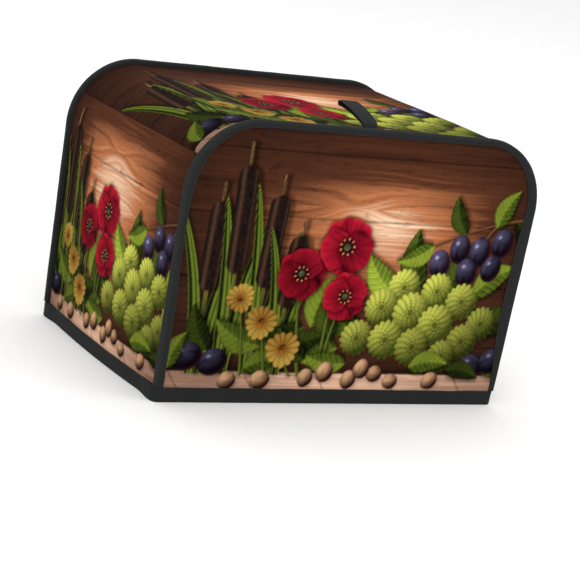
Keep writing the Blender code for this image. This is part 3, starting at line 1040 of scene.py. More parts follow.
@dataclass
class Print:
    """The design on one panel, painted on the cloth's own coordinates: a spray of plants before old boards."""

    scene: Scene

    def wood(self, canvas: Canvas) -> None:
        """Paints the boards.

        The grain is noise drawn out thirty times along the board and pulled round a few knots. A board's own tone
        and the dark line at its joint follow from the height. The glow is a bell curve of two sizes, and the colour
        runs from dark brown through russet to pale tan with it.
        """
        s = self.scene
        u, v = canvas.u, canvas.v
        board = (v + 0.006 * (layered_noise(u / 0.2, v / 0.2, s.seed, 1) - 0.5)) / 0.047
        number = np.floor(board)
        tone = lattice_noise(number * 3.3 + 0.5, number * 0 + 0.5, s.seed + 3)
        joint = np.minimum(board - number, number + 1 - board) * 0.047
        bent = v + 0.007 * (layered_noise(u / 0.11, v / 0.045, s.seed + 7, 2) - 0.5)
        for k in range(4):
            knot_u = s.width * (lattice_noise(np.array(k * 2.7), np.array(1.5), s.seed) - 0.5)
            knot_v = s.height * (0.38 + 0.17 * k)
            away = ((u - knot_u) / 0.030) ** 2 + ((v - knot_v) / 0.012) ** 2
            bent = bent + 0.009 * np.sign(v - knot_v) * np.exp(-away)
        coarse = layered_noise(u / 0.140, bent / 0.0050, s.seed + 11, 3)
        fine = layered_noise(u / 0.060, bent / 0.0013, s.seed + 13, 2)
        rings = 0.5 + 0.5 * np.sin(2 * math.pi * (bent / 0.0085 + 1.6 * coarse))
        fleck = smooth((layered_noise(u / 0.012, bent / 0.0011, s.seed + 17, 2) - 0.70) / 0.12)
        wide, tall = s.glow_size
        near = ((u - s.glow[0]) / wide) ** 2 + ((v - s.glow[1]) / tall) ** 2
        glow = 0.40 * np.exp(-near) + 0.26 * np.exp(-near / 4.5) + 0.20 * np.exp(-near * 4.5)
        rim = np.minimum(s.width / 2 - np.abs(u), s.height - v)
        glow = glow * (0.35 + 0.65 * smooth(rim / 0.07))
        grain = 0.50 * (coarse - 0.5) + 0.34 * (fine - 0.5) + 0.13 * (rings - 0.5) + 0.20 * (tone - 0.5)
        level = (glow * (1 + 0.85 * grain) + 0.12 * grain + 0.058).ravel()
        deep, mid, warm, pale = (linear(c) for c in ((24, 15, 12), (90, 51, 33), (180, 112, 72), (244, 206, 172)))
        colour = blend(deep, mid, level / 0.34)
        colour = blend(colour, warm, (level - 0.30) / 0.34)
        colour = blend(colour, pale, (level - 0.66) / 0.34)
        dark = 0.55 * np.exp(-((joint / 0.0008) ** 2)) + 0.30 * fleck
        canvas.colour = colour.reshape(*u.shape, 3) * (1 - dark)[..., None]

    def table(self, canvas: Canvas) -> None:
        """Paints the pale shelf along the lower edge, with grain and dark gaps."""
        s = self.scene
        near = canvas.v < s.shelf + 0.002
        u, v = canvas.u[near], canvas.v[near]
        grain = layered_noise(u / 0.035, v / 0.0016, s.seed + 23, 3)
        board = np.abs(((u / 0.062 + 0.35 * (v / 0.03)) % 1) - 0.5) * 0.062
        light = 0.55 + 0.5 * (grain - 0.5) - 0.45 * np.exp(-(((0.031 - board) / 0.0007) ** 2))
        light = light * (0.34 + 0.92 * np.exp(-(((u - s.glow[0]) / (0.34 * s.width)) ** 2)))
        colour = blend(linear((78, 44, 32)), linear((240, 194, 164)), light)
        canvas.lay(near, canvas.inside(v - s.shelf), colour)
        canvas.ground[near] = 1.0
        above = (canvas.v > s.shelf) & (canvas.v < s.shelf + 0.014)
        canvas.darken(above, 0.55 * smooth(1 - (canvas.v[above] - s.shelf) / 0.014))

    def place(self, x: float, y: float) -> tuple[float, float]:
        """A place of the layout on this panel, shrunk about the middle of its shelf as the panel needs."""
        s = self.scene
        return x * s.shrink, s.shelf + (y - 0.024) * s.shrink

    def tone(self, x: float, y: float, draw: np.random.Generator) -> float:
        """How brightly a plant at a place of the layout is lit: a bell curve about the middle, and a little chance."""
        near = ((x - 0.020) / 0.085) ** 2 + ((y - 0.105) / 0.062) ** 2
        return (0.30 + 0.70 * math.exp(-near)) * float(draw.uniform(0.80, 1.12))

    def leaves(self, canvas: Canvas, draw: np.random.Generator, rows: tuple) -> None:
        """Paints leaves from rows of place, length, turn and whether the leaf is bright."""
        s = self.scene
        lime, olive = ((186, 208, 70), (48, 70, 16)), ((96, 116, 36), (15, 22, 9))
        for x, y, size, turn, bright in rows:
            px, py = self.place(x, y)
            light, dark = lime if bright else olive
            tone = self.tone(x, y, draw)
            Leaf(px, py, size * s.shrink, turn + float(draw.uniform(-8, 8)), tone, light, dark).lay(canvas)

    def spray(self, canvas: Canvas) -> None:
        """Paints the plants from the back to the front: reeds, leaves, blossoms, fruit, nuts and daisies."""
        s = self.scene
        draw = np.random.default_rng(s.seed)
        k = s.shrink
        reeds = ((-0.121, 0.142, 0.02), (-0.100, 0.172, -0.01), (-0.076, 0.150, 0.03), (-0.056, 0.118, 0.05))
        for x, tall, lean in reeds:
            px, py = self.place(x, 0.022)
            for side in (-1, 1):
                lean_blade = side * float(draw.uniform(0.08, 0.24))
                size = tall * k * float(draw.uniform(0.66, 0.95))
                Blade(px + 0.004 * side, py, size, thick=0.0050 * k, lean=lean_blade).lay(canvas)
            Reed(px, py, tall * k, lean=lean, thick=0.0080 * k).lay(canvas)
        self.leaves(canvas, draw, (
            (0.010, 0.060, 0.050, 150, False), (0.118, 0.060, 0.048, 20, False), (0.058, 0.090, 0.050, 105, False),
            (0.084, 0.092, 0.046, 62, False), (0.040, 0.086, 0.046, 128, True), (-0.004, 0.044, 0.044, 172, True),
            (0.126, 0.036, 0.040, -18, True), (0.108, 0.088, 0.044, 40, True), (-0.036, 0.060, 0.046, 200, False),
            (-0.030, 0.060, 0.044, 72, True), (-0.012, 0.050, 0.040, 100, False), (-0.070, 0.044, 0.044, 150, True),
            (-0.112, 0.040, 0.038, 110, False), (-0.050, 0.036, 0.040, 30, False),
        ))
        twig = {"thick": 0.0014 * k, "light": (126, 84, 54), "dark": (30, 16, 10)}
        Stroke(self.place(0.152, 0.150), self.place(0.110, 0.146), self.place(0.060, 0.124), **twig).lay(canvas)
        Stroke(self.place(0.118, 0.143), self.place(0.108, 0.132), self.place(0.104, 0.118), **twig).lay(canvas)
        self.leaves(canvas, draw, (
            (0.118, 0.142, 0.034, 62, True), (0.090, 0.136, 0.032, 118, False), (0.064, 0.126, 0.034, 196, True),
            (0.136, 0.147, 0.030, -62, False),
        ))
        for x, y, size in (
            (0.126, 0.130, 0.0098), (0.106, 0.122, 0.0102), (0.088, 0.124, 0.0094), (0.072, 0.112, 0.0096),
            (0.098, 0.106, 0.0096), (0.120, 0.110, 0.0090),
        ):
            px, py = self.place(x, y)
            Plum(px, py, size * k, 90 + float(draw.uniform(-35, 35)), self.tone(x, y, draw)).lay(canvas)
        for x, y, size in (
            (0.046, 0.092, 0.0150), (0.074, 0.092, 0.0145), (0.100, 0.082, 0.0150), (0.026, 0.076, 0.0150),
            (0.054, 0.072, 0.0165), (0.122, 0.064, 0.0140), (0.082, 0.064, 0.0170), (0.106, 0.052, 0.0145),
            (0.010, 0.054, 0.0145), (0.036, 0.050, 0.0160), (0.064, 0.046, 0.0160), (0.090, 0.040, 0.0135),
        ):
            px, py = self.place(x + float(draw.uniform(-0.002, 0.002)), y + float(draw.uniform(-0.002, 0.002)))
            Pompon(px, py, size * k, float(draw.uniform(0, 360)), self.tone(x, y, draw)).lay(canvas)
        for x, y, size in ((-0.046, 0.100, 0.0190), (-0.012, 0.122, 0.0215), (-0.006, 0.084, 0.0180)):
            px, py = self.place(x, y)
            root = self.place(0.5 * x - 0.010, 0.022)
            Stroke(root, self.place(0.7 * x - 0.012, 0.6 * y), (px, py), 0.0014 * k).lay(canvas)
            Poppy(px, py, size * k, float(draw.uniform(0, 360)), self.tone(x, y, draw)).lay(canvas)
        for x, y, size in ((0.122, 0.031, 0.0104), (0.141, 0.036, 0.0104), (-0.106, 0.031, 0.0102), (-0.128, 0.035, 0.0106)):
            px, py = self.place(x, y)
            Plum(px, py, size * k, float(draw.uniform(-35, 35)), self.tone(x, y, draw)).lay(canvas)
        self.leaves(canvas, draw, (
            (0.006, 0.032, 0.038, 166, True), (0.064, 0.030, 0.036, 12, True), (0.100, 0.028, 0.032, -6, False),
            (-0.080, 0.026, 0.034, 20, True), (-0.030, 0.034, 0.036, 140, False), (-0.142, 0.026, 0.030, 60, True),
        ))
        for x, y, size in ((-0.072, 0.062, 0.0130), (-0.050, 0.042, 0.0140), (-0.092, 0.080, 0.0110)):
            px, py = self.place(x, y)
            Stroke(self.place(x + 0.010, 0.022), self.place(x + 0.008, 0.5 * y), (px, py), 0.0011 * k).lay(canvas)
            Daisy(px, py, size * k, float(draw.uniform(0, 360)), self.tone(x, y, draw)).lay(canvas)
        for x, y in (
            (-0.026, 0.020), (-0.010, 0.025), (0.012, 0.019), (0.034, 0.024), (0.050, 0.018), (-0.064, 0.018),
            (0.086, 0.019), (-0.092, 0.017), (0.022, 0.028),
        ):
            px, py = self.place(x, y)
            size, turn = 0.0068 * k * float(draw.uniform(0.9, 1.15)), float(draw.uniform(0, 360))
            Nut(px, py, size, turn, 0.25 + self.tone(x, y, draw)).lay(canvas)

    def paint(self, u: np.ndarray, v: np.ndarray) -> tuple[np.ndarray, np.ndarray]:
        """Paints the panel.

        Args:
            u: First coordinate of each point on the picture, from its middle.
            v: Second coordinate, up from its lower edge.

        Returns:
            The colour of each point, and how much of it is bare wood.
        """
        canvas = Canvas(u, v)
        self.wood(canvas)
        self.table(canvas)
        self.spray(canvas)
        return canvas.colour, canvas.ground

    @staticmethod
    def reverse_side(colour: np.ndarray) -> np.ndarray:
        """The unprinted side: a pale warm grey through which a little of the print shows."""
        return 0.88 * linear((196, 190, 184)) + 0.12 * colour


@dataclass
class ClothPanels:
    """The five printed panels: front, back, left side, top and right side."""

    cover: Cover
    material: bpy.types.Material
    cell: float = 0.00085
    gusset_cell: float = 0.00098
    coarse: int = 6
    wave: float = 0.0007
    wave_length: float = 0.075
    pucker: float = 0.00030
    pucker_length: float = 0.0085
    pucker_reach: float = 0.0130
    seam_dip: float = 0.0012
    seam_dip_width: float = 0.0024
    top_start: float = 0.010
    side_glow: tuple[float, float] = (-0.006, 0.128)
    side_glow_size: tuple[float, float] = (0.078, 0.056)
    side_clear: float = 0.030
    right_crown: float = 0.0045
    crown_rise: float = 0.0060

    def steps(self, length: float, cell: float) -> int:
        """The number of cells for a length, a whole number of coarse cells."""
        return self.coarse * round(length / cell / self.coarse)

    def rim_place(self, x: np.ndarray, z: np.ndarray) -> np.ndarray:
        """How far along the rim a point of a face panel lies, from the middle of the top: the arc on the corners."""
        c = self.cover
        across, up = np.abs(x) - c.half_flat, z - c.shoulder
        corner = c.half_flat + c.corner_radius * np.arctan2(np.maximum(across, 0), np.maximum(up, 1e-9))
        below = c.half_flat + c.corner_radius * math.pi / 2 - up
        return np.sign(x) * np.where(across <= 0, np.abs(x), np.where(up <= 0, below, corner))

    def puckers(self, along: np.ndarray, distance: np.ndarray, seed: int) -> np.ndarray:
        """Small gathers across a seam: noise along it, dying away as exp(-distance / reach), and flat below tape."""
        ridges = layered_noise(along / self.pucker_length, distance / 0.03, seed, 2) * 2 - 1
        fading = np.exp(-np.maximum(distance, 0) / self.pucker_reach)
        clear = smooth((distance + 0.004) / 0.004)
        return self.pucker * ridges * fading * (0.3 + 0.7 * clear)

    def waves(self, a: np.ndarray, b: np.ndarray, inside: np.ndarray, seed: int) -> np.ndarray:
        """Broad low waves: noise of two sizes that grows in over the first 30 mm from the edge."""
        swell = layered_noise(a / self.wave_length, b / self.wave_length, seed, 2) * 2 - 1
        return self.wave * swell * smooth(inside / 0.03)

    def face(self, which: Face, side: int, seed: int) -> Surface:
        """The front or the back panel.

        A grid of rows up the height. Each row is as wide as the rounded outline allows there, and the relief is the
        sum of the waves and the puckers along the seam and the hem.

        Args:
            which: The panel.
            side: -1 at the front, 1 at the back.
            seed: Picks its waves.

        Returns:
            The panel's surface, dressed with its print.
        """
        c = self.cover
        floor, top = c.panel_near, c.height - c.panel_near
        rows = self.steps(top - floor, self.cell)
        columns = self.steps(c.width, self.cell)
        z = np.linspace(floor, top, rows + 1)[:, None]
        share = np.linspace(-1, 1, columns + 1)[None, :]
        narrow = (c.flange_proud - c.panel_near) * (1 - smooth((z - c.above_hem) / c.step_up))
        x = share * (c.half_width_at(z, c.panel_near) - narrow)
        z = z + 0 * x
        depth = c.rim_depth(x, z)
        relief = self.waves(x, z, np.minimum(depth, z), seed)
        relief += self.puckers(self.rim_place(x, z), depth - c.flange_face, seed + 1)
        relief += self.puckers(x, z - c.hem_height, seed + 2)
        outer = np.stack([x, side * (c.half_depth - c.panel_near + relief), z], axis=-1)
        inner = np.stack([x, side * (c.half_depth - c.panel_near - c.cloth + relief), z], axis=-1)
        return self.dressed(which, outer, inner, x, z)

    def gusset(self, which: Face, start: float, end: float, seed: int) -> Surface:
        """A panel of the gusset, over a stretch of the rim.

        A grid along the rim and from seam to seam. Its outer side lies inside the rim by the flange's height, and it
        dips as exp(-(distance / width)^2) into the plain seams between the gusset's panels. The right corner
        curve is fuller: the sine of twice its turn, times 1 - exp(-distance / rise) from each tape.

        Args:
            which: The panel.
            start: Where it starts along the rim.
            end: Where it ends.
            seed: Picks its waves.

        Returns:
            The panel's surface, dressed with its print.
        """
        c = self.cover
        reach = c.half_depth - c.gusset_edge
        rows = self.steps(end - start, self.gusset_cell)
        columns = self.steps(2 * reach, self.gusset_cell)
        s = np.linspace(start, end, rows + 1)[:, None]
        y = np.linspace(-reach, reach, columns + 1)[None, :]
        s, y = np.broadcast_arrays(s, y)
        x, z, out_x, out_z = c.rim(s)
        from_tape = reach - (c.seam_thick - c.gusset_edge) - np.abs(y)
        from_seam = np.minimum(np.abs(s - self.seam_place(-1)), np.abs(s - self.seam_place(1)))
        relief = self.waves(s, y, np.minimum(from_tape, from_seam), seed)
        relief += self.puckers(s, from_tape, seed + 1)
        relief += self.puckers(y, from_seam, seed + 2) * smooth(from_tape / 0.004)
        relief += self.puckers(y, z - c.hem_height, seed + 3)
        fullness = np.clip(2 * out_x * out_z, 0, 1) * (1 - np.exp(-np.maximum(from_tape, 0) / self.crown_rise))
        relief += self.right_crown * fullness
        clear = smooth((from_tape + 0.001) / 0.008)
        relief -= self.seam_dip * np.exp(-((from_seam / self.seam_dip_width) ** 2)) * clear
        out = relief - c.flange_proud
        outer = np.stack([x + out_x * out, y, z + out_z * out], axis=-1)
        out = out - c.cloth
        inner = np.stack([x + out_x * out, y, z + out_z * out], axis=-1)
        return self.dressed(which, outer, inner, s, y)

    def seam_place(self, side: int) -> float:
        """Where the plain seam on the left (side -1) or right (side 1) corner lies along the rim."""
        c = self.cover
        left = c.shoulder + c.corner_radius * math.radians(c.side_seam_angle)
        return left if side < 0 else c.rim_length - left

    def picture(self, which: Face, a: np.ndarray, b: np.ndarray) -> tuple[np.ndarray, np.ndarray]:
        """Turns a panel's own coordinates into those of the picture: to the right, and up from the lower edge.

        Args:
            which: The panel.
            a: x on a face panel, or the length along the rim on the gusset.
            b: z on a face panel, or y on the gusset.

        Returns:
            Both coordinates of the picture.
        """
        c = self.cover
        return {
            Face.FRONT: (a, b),
            Face.BACK: (-a, b),
            Face.LEFT: (-b, a),
            Face.RIGHT: (b, c.rim_length - a),
            Face.TOP: (a - c.rim_length / 2, b + c.half_depth - c.gusset_edge + self.top_start),
        }[which]

    def scene(self, which: Face) -> Scene:
        """The picture that fits a panel: full size on the faces and the top, smaller and more lit on the sides."""
        c = self.cover
        if which in (Face.LEFT, Face.RIGHT):
            tall = self.seam_place(-1)
            return Scene(
                c.depth, tall + self.side_clear, self.side_glow, self.side_glow_size, shrink=tall / c.height
            )
        return Scene(c.width, c.height + (self.top_start if which is Face.TOP else 0.0), (0.018, 0.140))

    def dressed(self, which: Face, outer: np.ndarray, inner: np.ndarray, u: np.ndarray, v: np.ndarray) -> Surface:
        """Closes a panel, and gives it its print and its place on the cloth."""
        c, k = self.cover, self.coarse
        surface = cloth_surface(c.settle(outer), c.settle(inner[::k, ::k]), k)
        u, v = self.picture(which, u, v)
        place = np.stack([u, v], axis=-1)
        surface.places = np.concatenate([place.reshape(-1, 2), place[::k, ::k].reshape(-1, 2)])
        colour, ground = Print(self.scene(which)).paint(u, v)
        reverse = Print.reverse_side(colour[::k, ::k])
        surface.colours["print"] = np.concatenate([colour.reshape(-1, 3), reverse.reshape(-1, 3)])
        surface.numbers["ground"] = np.concatenate([ground.ravel(), 0 * ground[::k, ::k].ravel()])
        return surface

    def build(self) -> dict[Face, bpy.types.Object]:
        """Makes the five panels.

        Returns:
            Each panel's object.
        """
        c = self.cover
        parting = c.gap * c.corner_radius / (c.corner_radius - c.flange_proud)
        left, right = self.seam_place(-1), self.seam_place(1)
        surfaces = {
            Face.FRONT: self.face(Face.FRONT, -1, 11),
            Face.BACK: self.face(Face.BACK, 1, 23),
            Face.LEFT: self.gusset(Face.LEFT, c.panel_near, left, 37),
            Face.TOP: self.gusset(Face.TOP, left + parting, right - parting, 41),
            Face.RIGHT: self.gusset(Face.RIGHT, right, c.rim_length - c.panel_near, 53),
        }
        found = {}
        for which, surface in surfaces.items():
            piece = surface.piece(f"{which.value}_cloth", self.material)
            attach(piece, "root")
            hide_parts(f"{which.value}_panel")
            LOG.info("%s: %d points", piece.name, len(surface.points))
            found[which] = piece
        return found


@dataclass
class SeamTape:
    """The folded tape over the front or the back seam, from foot to foot over the top, with its stitches."""

    cover: Cover
    side: int
    name: str
    material: bpy.types.Material
    station: float = 0.0008
    fold_radius: float = 0.0016
    row_inset: float = 0.0018
    dimple: float = 0.00018
    dimple_width: float = 0.0008
    wander: float = 0.00035
    unevenness: float = 0.00012
    drift: tuple[tuple[float, float], ...] = (
        (0.000, -0.0005),
        (0.060, -0.0006),
        (0.125, -0.0024),
        (0.172, -0.0006),
        (0.250, -0.0024),
        (0.432, -0.0024),
        (0.565, 0.0030),
        (0.600, 0.0030),
        (0.660, -0.0025),
    )

    def face(self, s: np.ndarray) -> np.ndarray:
        """How wide the leg on the panel is along the rim: on the front tape it wanders, as a hand guides it."""
        wide = self.cover.flange_face + 0 * s
        if self.side < 0:
            (_, last), *_ = self.drift
            wide = wide + last
            for (start, before), (end, after) in zip(self.drift[:-1], self.drift[1:]):
                wide = wide + (after - before) * smooth((s - start) / (end - start))
        return wide

    def section(self) -> tuple[np.ndarray, np.ndarray]:
        """The tape's section: a front leg, a fold with two rounded corners, a short back leg, and the inner side.

        Returns:
            Each corner as distance outward from the rim and behind the tape's face, and its wear from 0 to 1.
        """
        c, r = self.cover, self.fold_radius
        turn = np.radians(np.linspace(90, 0, 6))
        near = np.stack([-r + r * np.cos(turn), r - r * np.sin(turn)], axis=1)
        far = np.stack([near[::-1, 0], c.seam_thick - near[::-1, 1]], axis=1)
        foot = -c.flange_proud - c.gap
        soft = c.tape * 0.3
        leg = np.linspace(-c.flange_face + soft, -r, 8)[:-1]
        front = np.stack([leg, np.zeros(7)], axis=1)
        start = np.array([[-c.flange_face, c.tape], [-c.flange_face, soft]])
        back = np.array([[foot, c.seam_thick], [foot, c.seam_thick - c.tape]])
        inside = np.array([[-c.tape * 1.15, c.seam_thick - c.tape], [-c.tape * 1.15, c.tape]])
        points = np.concatenate([start, front, near, far, back, inside])
        wear = np.zeros(len(points))
        wear[[1, 2]] = 0.7
        wear[9:21] = 0.45
        return points, wear

    def point(self, s: np.ndarray, out: np.ndarray, behind: np.ndarray) -> np.ndarray:
        """A point of the true box from its place along the rim, outward from it and behind the tape's face."""
        x, z, out_x, out_z = self.cover.rim(s)
        y = self.side * (self.cover.half_depth - behind)
        return np.stack([x + out_x * out, y + 0 * x, z + out_z * out], axis=-1)

    def tape(self) -> Surface:
        """Carries the section along the rim.

        The leg on the panel wanders at its edge, its face is uneven by low noise, and each stitch pulls it in by a
        bell curve across the row times a cosine along it.

        Returns:
            The tape's surface.
        """
        c = self.cover
        corners, wear = self.section()
        count = round((c.rim_length - 2 * c.above_hem) / self.station)
        s = np.linspace(c.above_hem, c.rim_length - c.above_hem, count + 1)[:, None]
        out, behind = corners[None, :, 0] + 0 * s, corners[None, :, 1] + 0 * s
        seed = 61 + self.side
        on_face = (np.abs(behind) < 1e-6) | (wear[None, :] == 0.7)
        face, fold = self.face(s), self.fold_radius
        on_leg = np.arange(len(corners)) < 9
        out = np.where(on_leg, (out + fold) * (face - fold) / (c.flange_face - fold) - fold, out)
        at_edge = np.exp(-((out + face) / 0.0015) ** 2)
        row = np.exp(-(((out + face - self.row_inset) / self.dimple_width) ** 2))
        pull = 0.5 + 0.5 * np.cos(2 * math.pi * s / Stitching.pitch)
        rough = layered_noise(s / 0.009, out / 0.004, seed, 2) * 2 - 1
        sway = layered_noise(s / 0.016, 0 * out, seed + 5, 2) * 2 - 1
        ridge = layered_noise(s / 0.012, behind / 0.005, seed + 9, 2) * 2 - 1
        behind = behind + on_face * (self.dimple * row * pull - self.unevenness * rough)
        out = out + self.wander * sway * at_edge * (behind < 0.9 * c.tape)
        out = out + 0.00015 * ridge * (out > -self.fold_radius)
        surface = swept_surface(c.settle(self.point(s, out, behind)), closed=False)
        length = np.concatenate([[0], np.cumsum(np.hypot(*np.diff(corners, axis=0).T))])
        surface.places = np.stack([s + 0 * out, length[None] + 0 * out], axis=-1)
        surface.numbers["wear"] = np.broadcast_to(wear[None], out.shape).ravel()
        return surface

    def stitches(self) -> Surface:
        """One row of stitches on the leg that lies on the panel."""
        c, sewing = self.cover, Stitching()
        count = round((c.rim_length - 2 * c.above_hem) / sewing.pitch) - 1
        s = c.above_hem + sewing.pitch * (np.arange(count) + 1.0)
        s = np.round(s / sewing.pitch) * sewing.pitch + sewing.pitch / 2
        s = s[s < c.rim_length - c.above_hem - sewing.pitch / 2]
        centres = self.point(s, self.row_inset - self.face(s), 0 * s)
        ahead = self.point(s + 0.0005, self.row_inset - self.face(s + 0.0005), 0 * s) - centres
        along = ahead / np.linalg.norm(ahead, axis=1)[:, None]
        outward = np.broadcast_to([0.0, float(self.side), 0.0], along.shape)
        return sewing.surface(centres, along, outward, c)

    def build(self, thread: bpy.types.Material) -> tuple[bpy.types.Object, bpy.types.Object]:
        """Makes the tape and its stitches.

        Args:
            thread: The thread's material.

        Returns:
            The tape and the row of stitches.
        """
        tape = self.tape().piece(f"{self.name}_tape", self.material, 60.0)
        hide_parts(f"{self.name}_binding")
        row = self.stitches().piece(f"{self.name}_stitches", thread)
        for piece in (tape, row):
            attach(piece, "root")
            LOG.info("%s: %d faces", piece.name, len(piece.data.polygons))
        return tape, row


@dataclass
class HemTape:
    """The tape folded up round the lower edge of the four walls, and its stitches."""

    cover: Cover
    material: bpy.types.Material
    station: float = 0.0009
    ear_full: float = 0.80
    row_inset: float = 0.0020
    dimple: float = 0.00020
    dimple_width: float = 0.0008
    wander: float = 0.00030
    unevenness: float = 0.00015
    corner_steps: int = 8

    def quarter_counts(self) -> tuple[int, int]:
        """Stations along the front and along a side."""
        c = self.cover
        return round(c.width / self.station), round(c.depth / self.station)

    def path(self, inset: float, ear: float, radius: float) -> np.ndarray:
        """A level loop round the hem, anticlockwise from above.

        The front runs straight, the corners are quarter circles, and along a side the loop swells by a squared sine
        over the end of each bound seam. The other half is the same, turned half round.

        Args:
            inset: How far inside the hem's outer face the loop runs.
            ear: How far it swells at the corners.
            radius: Of its corners in plan.

        Returns:
            x and y of each station.
        """
        c = self.cover
        x_half = c.half_width - c.flange_proud + c.panel_near - inset
        y_half = c.half_depth - inset
        corner_x = x_half + ear
        front_count, side_count = self.quarter_counts()
        front = np.linspace(radius - corner_x, corner_x - radius, front_count + 1)[1:-1]
        turn = np.linspace(0, math.pi / 2, self.corner_steps + 1)
        y = np.linspace(radius - y_half, y_half - radius, side_count + 1)[1:-1]
        near = np.clip((np.abs(y) - (y_half - c.ear_length)) / (self.ear_full * c.ear_length), 0, 1)
        corner_in = np.stack([corner_x - radius + radius * np.sin(turn), radius - y_half - radius * np.cos(turn)], 1)
        half = np.concatenate(
            [
                np.stack([front, np.full(len(front), -y_half)], 1),
                corner_in,
                np.stack([x_half + ear * np.sin(0.5 * math.pi * near) ** 2, y], 1),
                corner_in[::-1] * [1, -1],
            ]
        )
        return np.concatenate([half, -half])

    def section(self) -> list[tuple[float, float, float, float]]:
        """The section: inset from the outer face, height, share of the ear, and how worn it is."""
        c = self.cover
        t, top = c.tape, c.hem_height
        slot = c.cloth + 2 * c.gap
        wide = 2 * t + slot
        outer = [(0.0, z, 1.0, 0.0) for z in np.linspace(0.0012, top - 0.0004, 9)]
        return [
            (0.0009, 0.0, 1.0, 0.3),
            (0.0003, 0.0003, 1.0, 0.5),
            *outer,
            (0.0001, top - 0.0001, 1.0, 0.7),
            (0.0005, top, 0.9, 0.5),
            (t, top, 0.0, 0.0),
            (t, t, 0.0, 0.0),
            (t + slot, t, 0.0, 0.0),
            (t + slot, top, 0.0, 0.0),
            (wide - 0.0004, top, 0.0, 0.4),
            (wide, top - 0.0004, 0.0, 0.4),
            (wide, 0.0009, 0.0, 0.2),
            (wide - 0.0009, 0.0, 0.0, 0.2),
        ]

    def outline(self, inset: float, share: float) -> np.ndarray:
        """The loop at an inset, rounded outside and tight inside."""
        c = self.cover
        ear = share * (c.flange_proud - c.panel_near)
        radius = c.hem_corner - inset if share else c.gap / 2
        return self.path(inset, ear, radius)

    def run(self) -> np.ndarray:
        """Length along the outer loop up to each station."""
        loop = self.outline(0.0, 1.0)
        gaps = np.hypot(*(np.roll(loop, -1, axis=0) - loop).T)
        return np.concatenate([[0], np.cumsum(gaps)[:-1]])

    def tape(self) -> Surface:
        """Carries the section round the loop; noise and the stitches' pull move its outer face and upper edge."""
        c, section, run = self.cover, self.section(), self.run()
        pull = 0.5 + 0.5 * np.cos(2 * math.pi * run / Stitching.pitch)
        loops = []
        for inset, height, share, _ in section:
            loop = self.outline(inset, share)
            tangent = np.roll(loop, -1, axis=0) - np.roll(loop, 1, axis=0)
            normal = np.stack([tangent[:, 1], -tangent[:, 0]], axis=1) / np.hypot(*tangent.T)[:, None]
            row = math.exp(-(((c.hem_height - self.row_inset - height) / self.dimple_width) ** 2))
            rough = layered_noise(run / 0.010, np.full(len(run), height / 0.005), 71, 2) * 2 - 1
            out = (share > 0.95) * (self.unevenness * rough - self.dimple * row * pull) * (height > 0.0005)
            sway = layered_noise(run / 0.018, 0 * run, 77, 2) * 2 - 1
            rise = self.wander * sway * smooth((height - 0.5 * c.hem_height) / (0.5 * c.hem_height))
            place = loop + normal * out[:, None]
            loops.append(np.stack([place[:, 0], place[:, 1], height + rise], axis=1))
        surface = swept_surface(c.settle(np.stack(loops, axis=1)), closed=True)
        across = np.array([row[0] + row[1] for row in section])
        surface.places = np.stack(np.broadcast_arrays(run[:, None], across[None]), axis=-1)
        surface.numbers["wear"] = np.tile([row[3] for row in section], len(run))
        return surface

    def stitches(self) -> Surface:
        """One row of stitches round the hem, a little below its upper edge."""
        c, sewing, run = self.cover, Stitching(), self.run()
        loop = self.outline(0.0, 1.0)
        total = run[-1] + np.hypot(*(loop[0] - loop[-1]))
        s = sewing.pitch * (np.arange(math.floor(total / sewing.pitch)) + 0.5)
        closed_run, closed = np.append(run, total), np.concatenate([loop, loop[:1]])
        at = np.stack([np.interp(s, closed_run, closed[:, k]) for k in range(2)], axis=1)
        ahead = np.stack([np.interp(s + 0.0008, closed_run, closed[:, k]) for k in range(2)], axis=1) - at
        along = np.concatenate([ahead / np.hypot(*ahead.T)[:, None], np.zeros((len(s), 1))], axis=1)
        outward = np.stack([along[:, 1], -along[:, 0], 0 * s], axis=1)
        centres = np.concatenate([at, np.full((len(s), 1), c.hem_height - self.row_inset)], axis=1)
        return sewing.surface(centres, along, outward, c)

    def build(self, thread: bpy.types.Material) -> tuple[bpy.types.Object, bpy.types.Object]:
        """Makes the hem tape and its stitches."""
        tape = self.tape().piece("hem_tape", self.material, 60.0)
        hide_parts("hem_binding")
        row = self.stitches().piece("hem_stitches", thread)
        for piece in (tape, row):
            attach(piece, "root")
            LOG.info("%s: %d faces", piece.name, len(piece.data.polygons))
        return tape, row


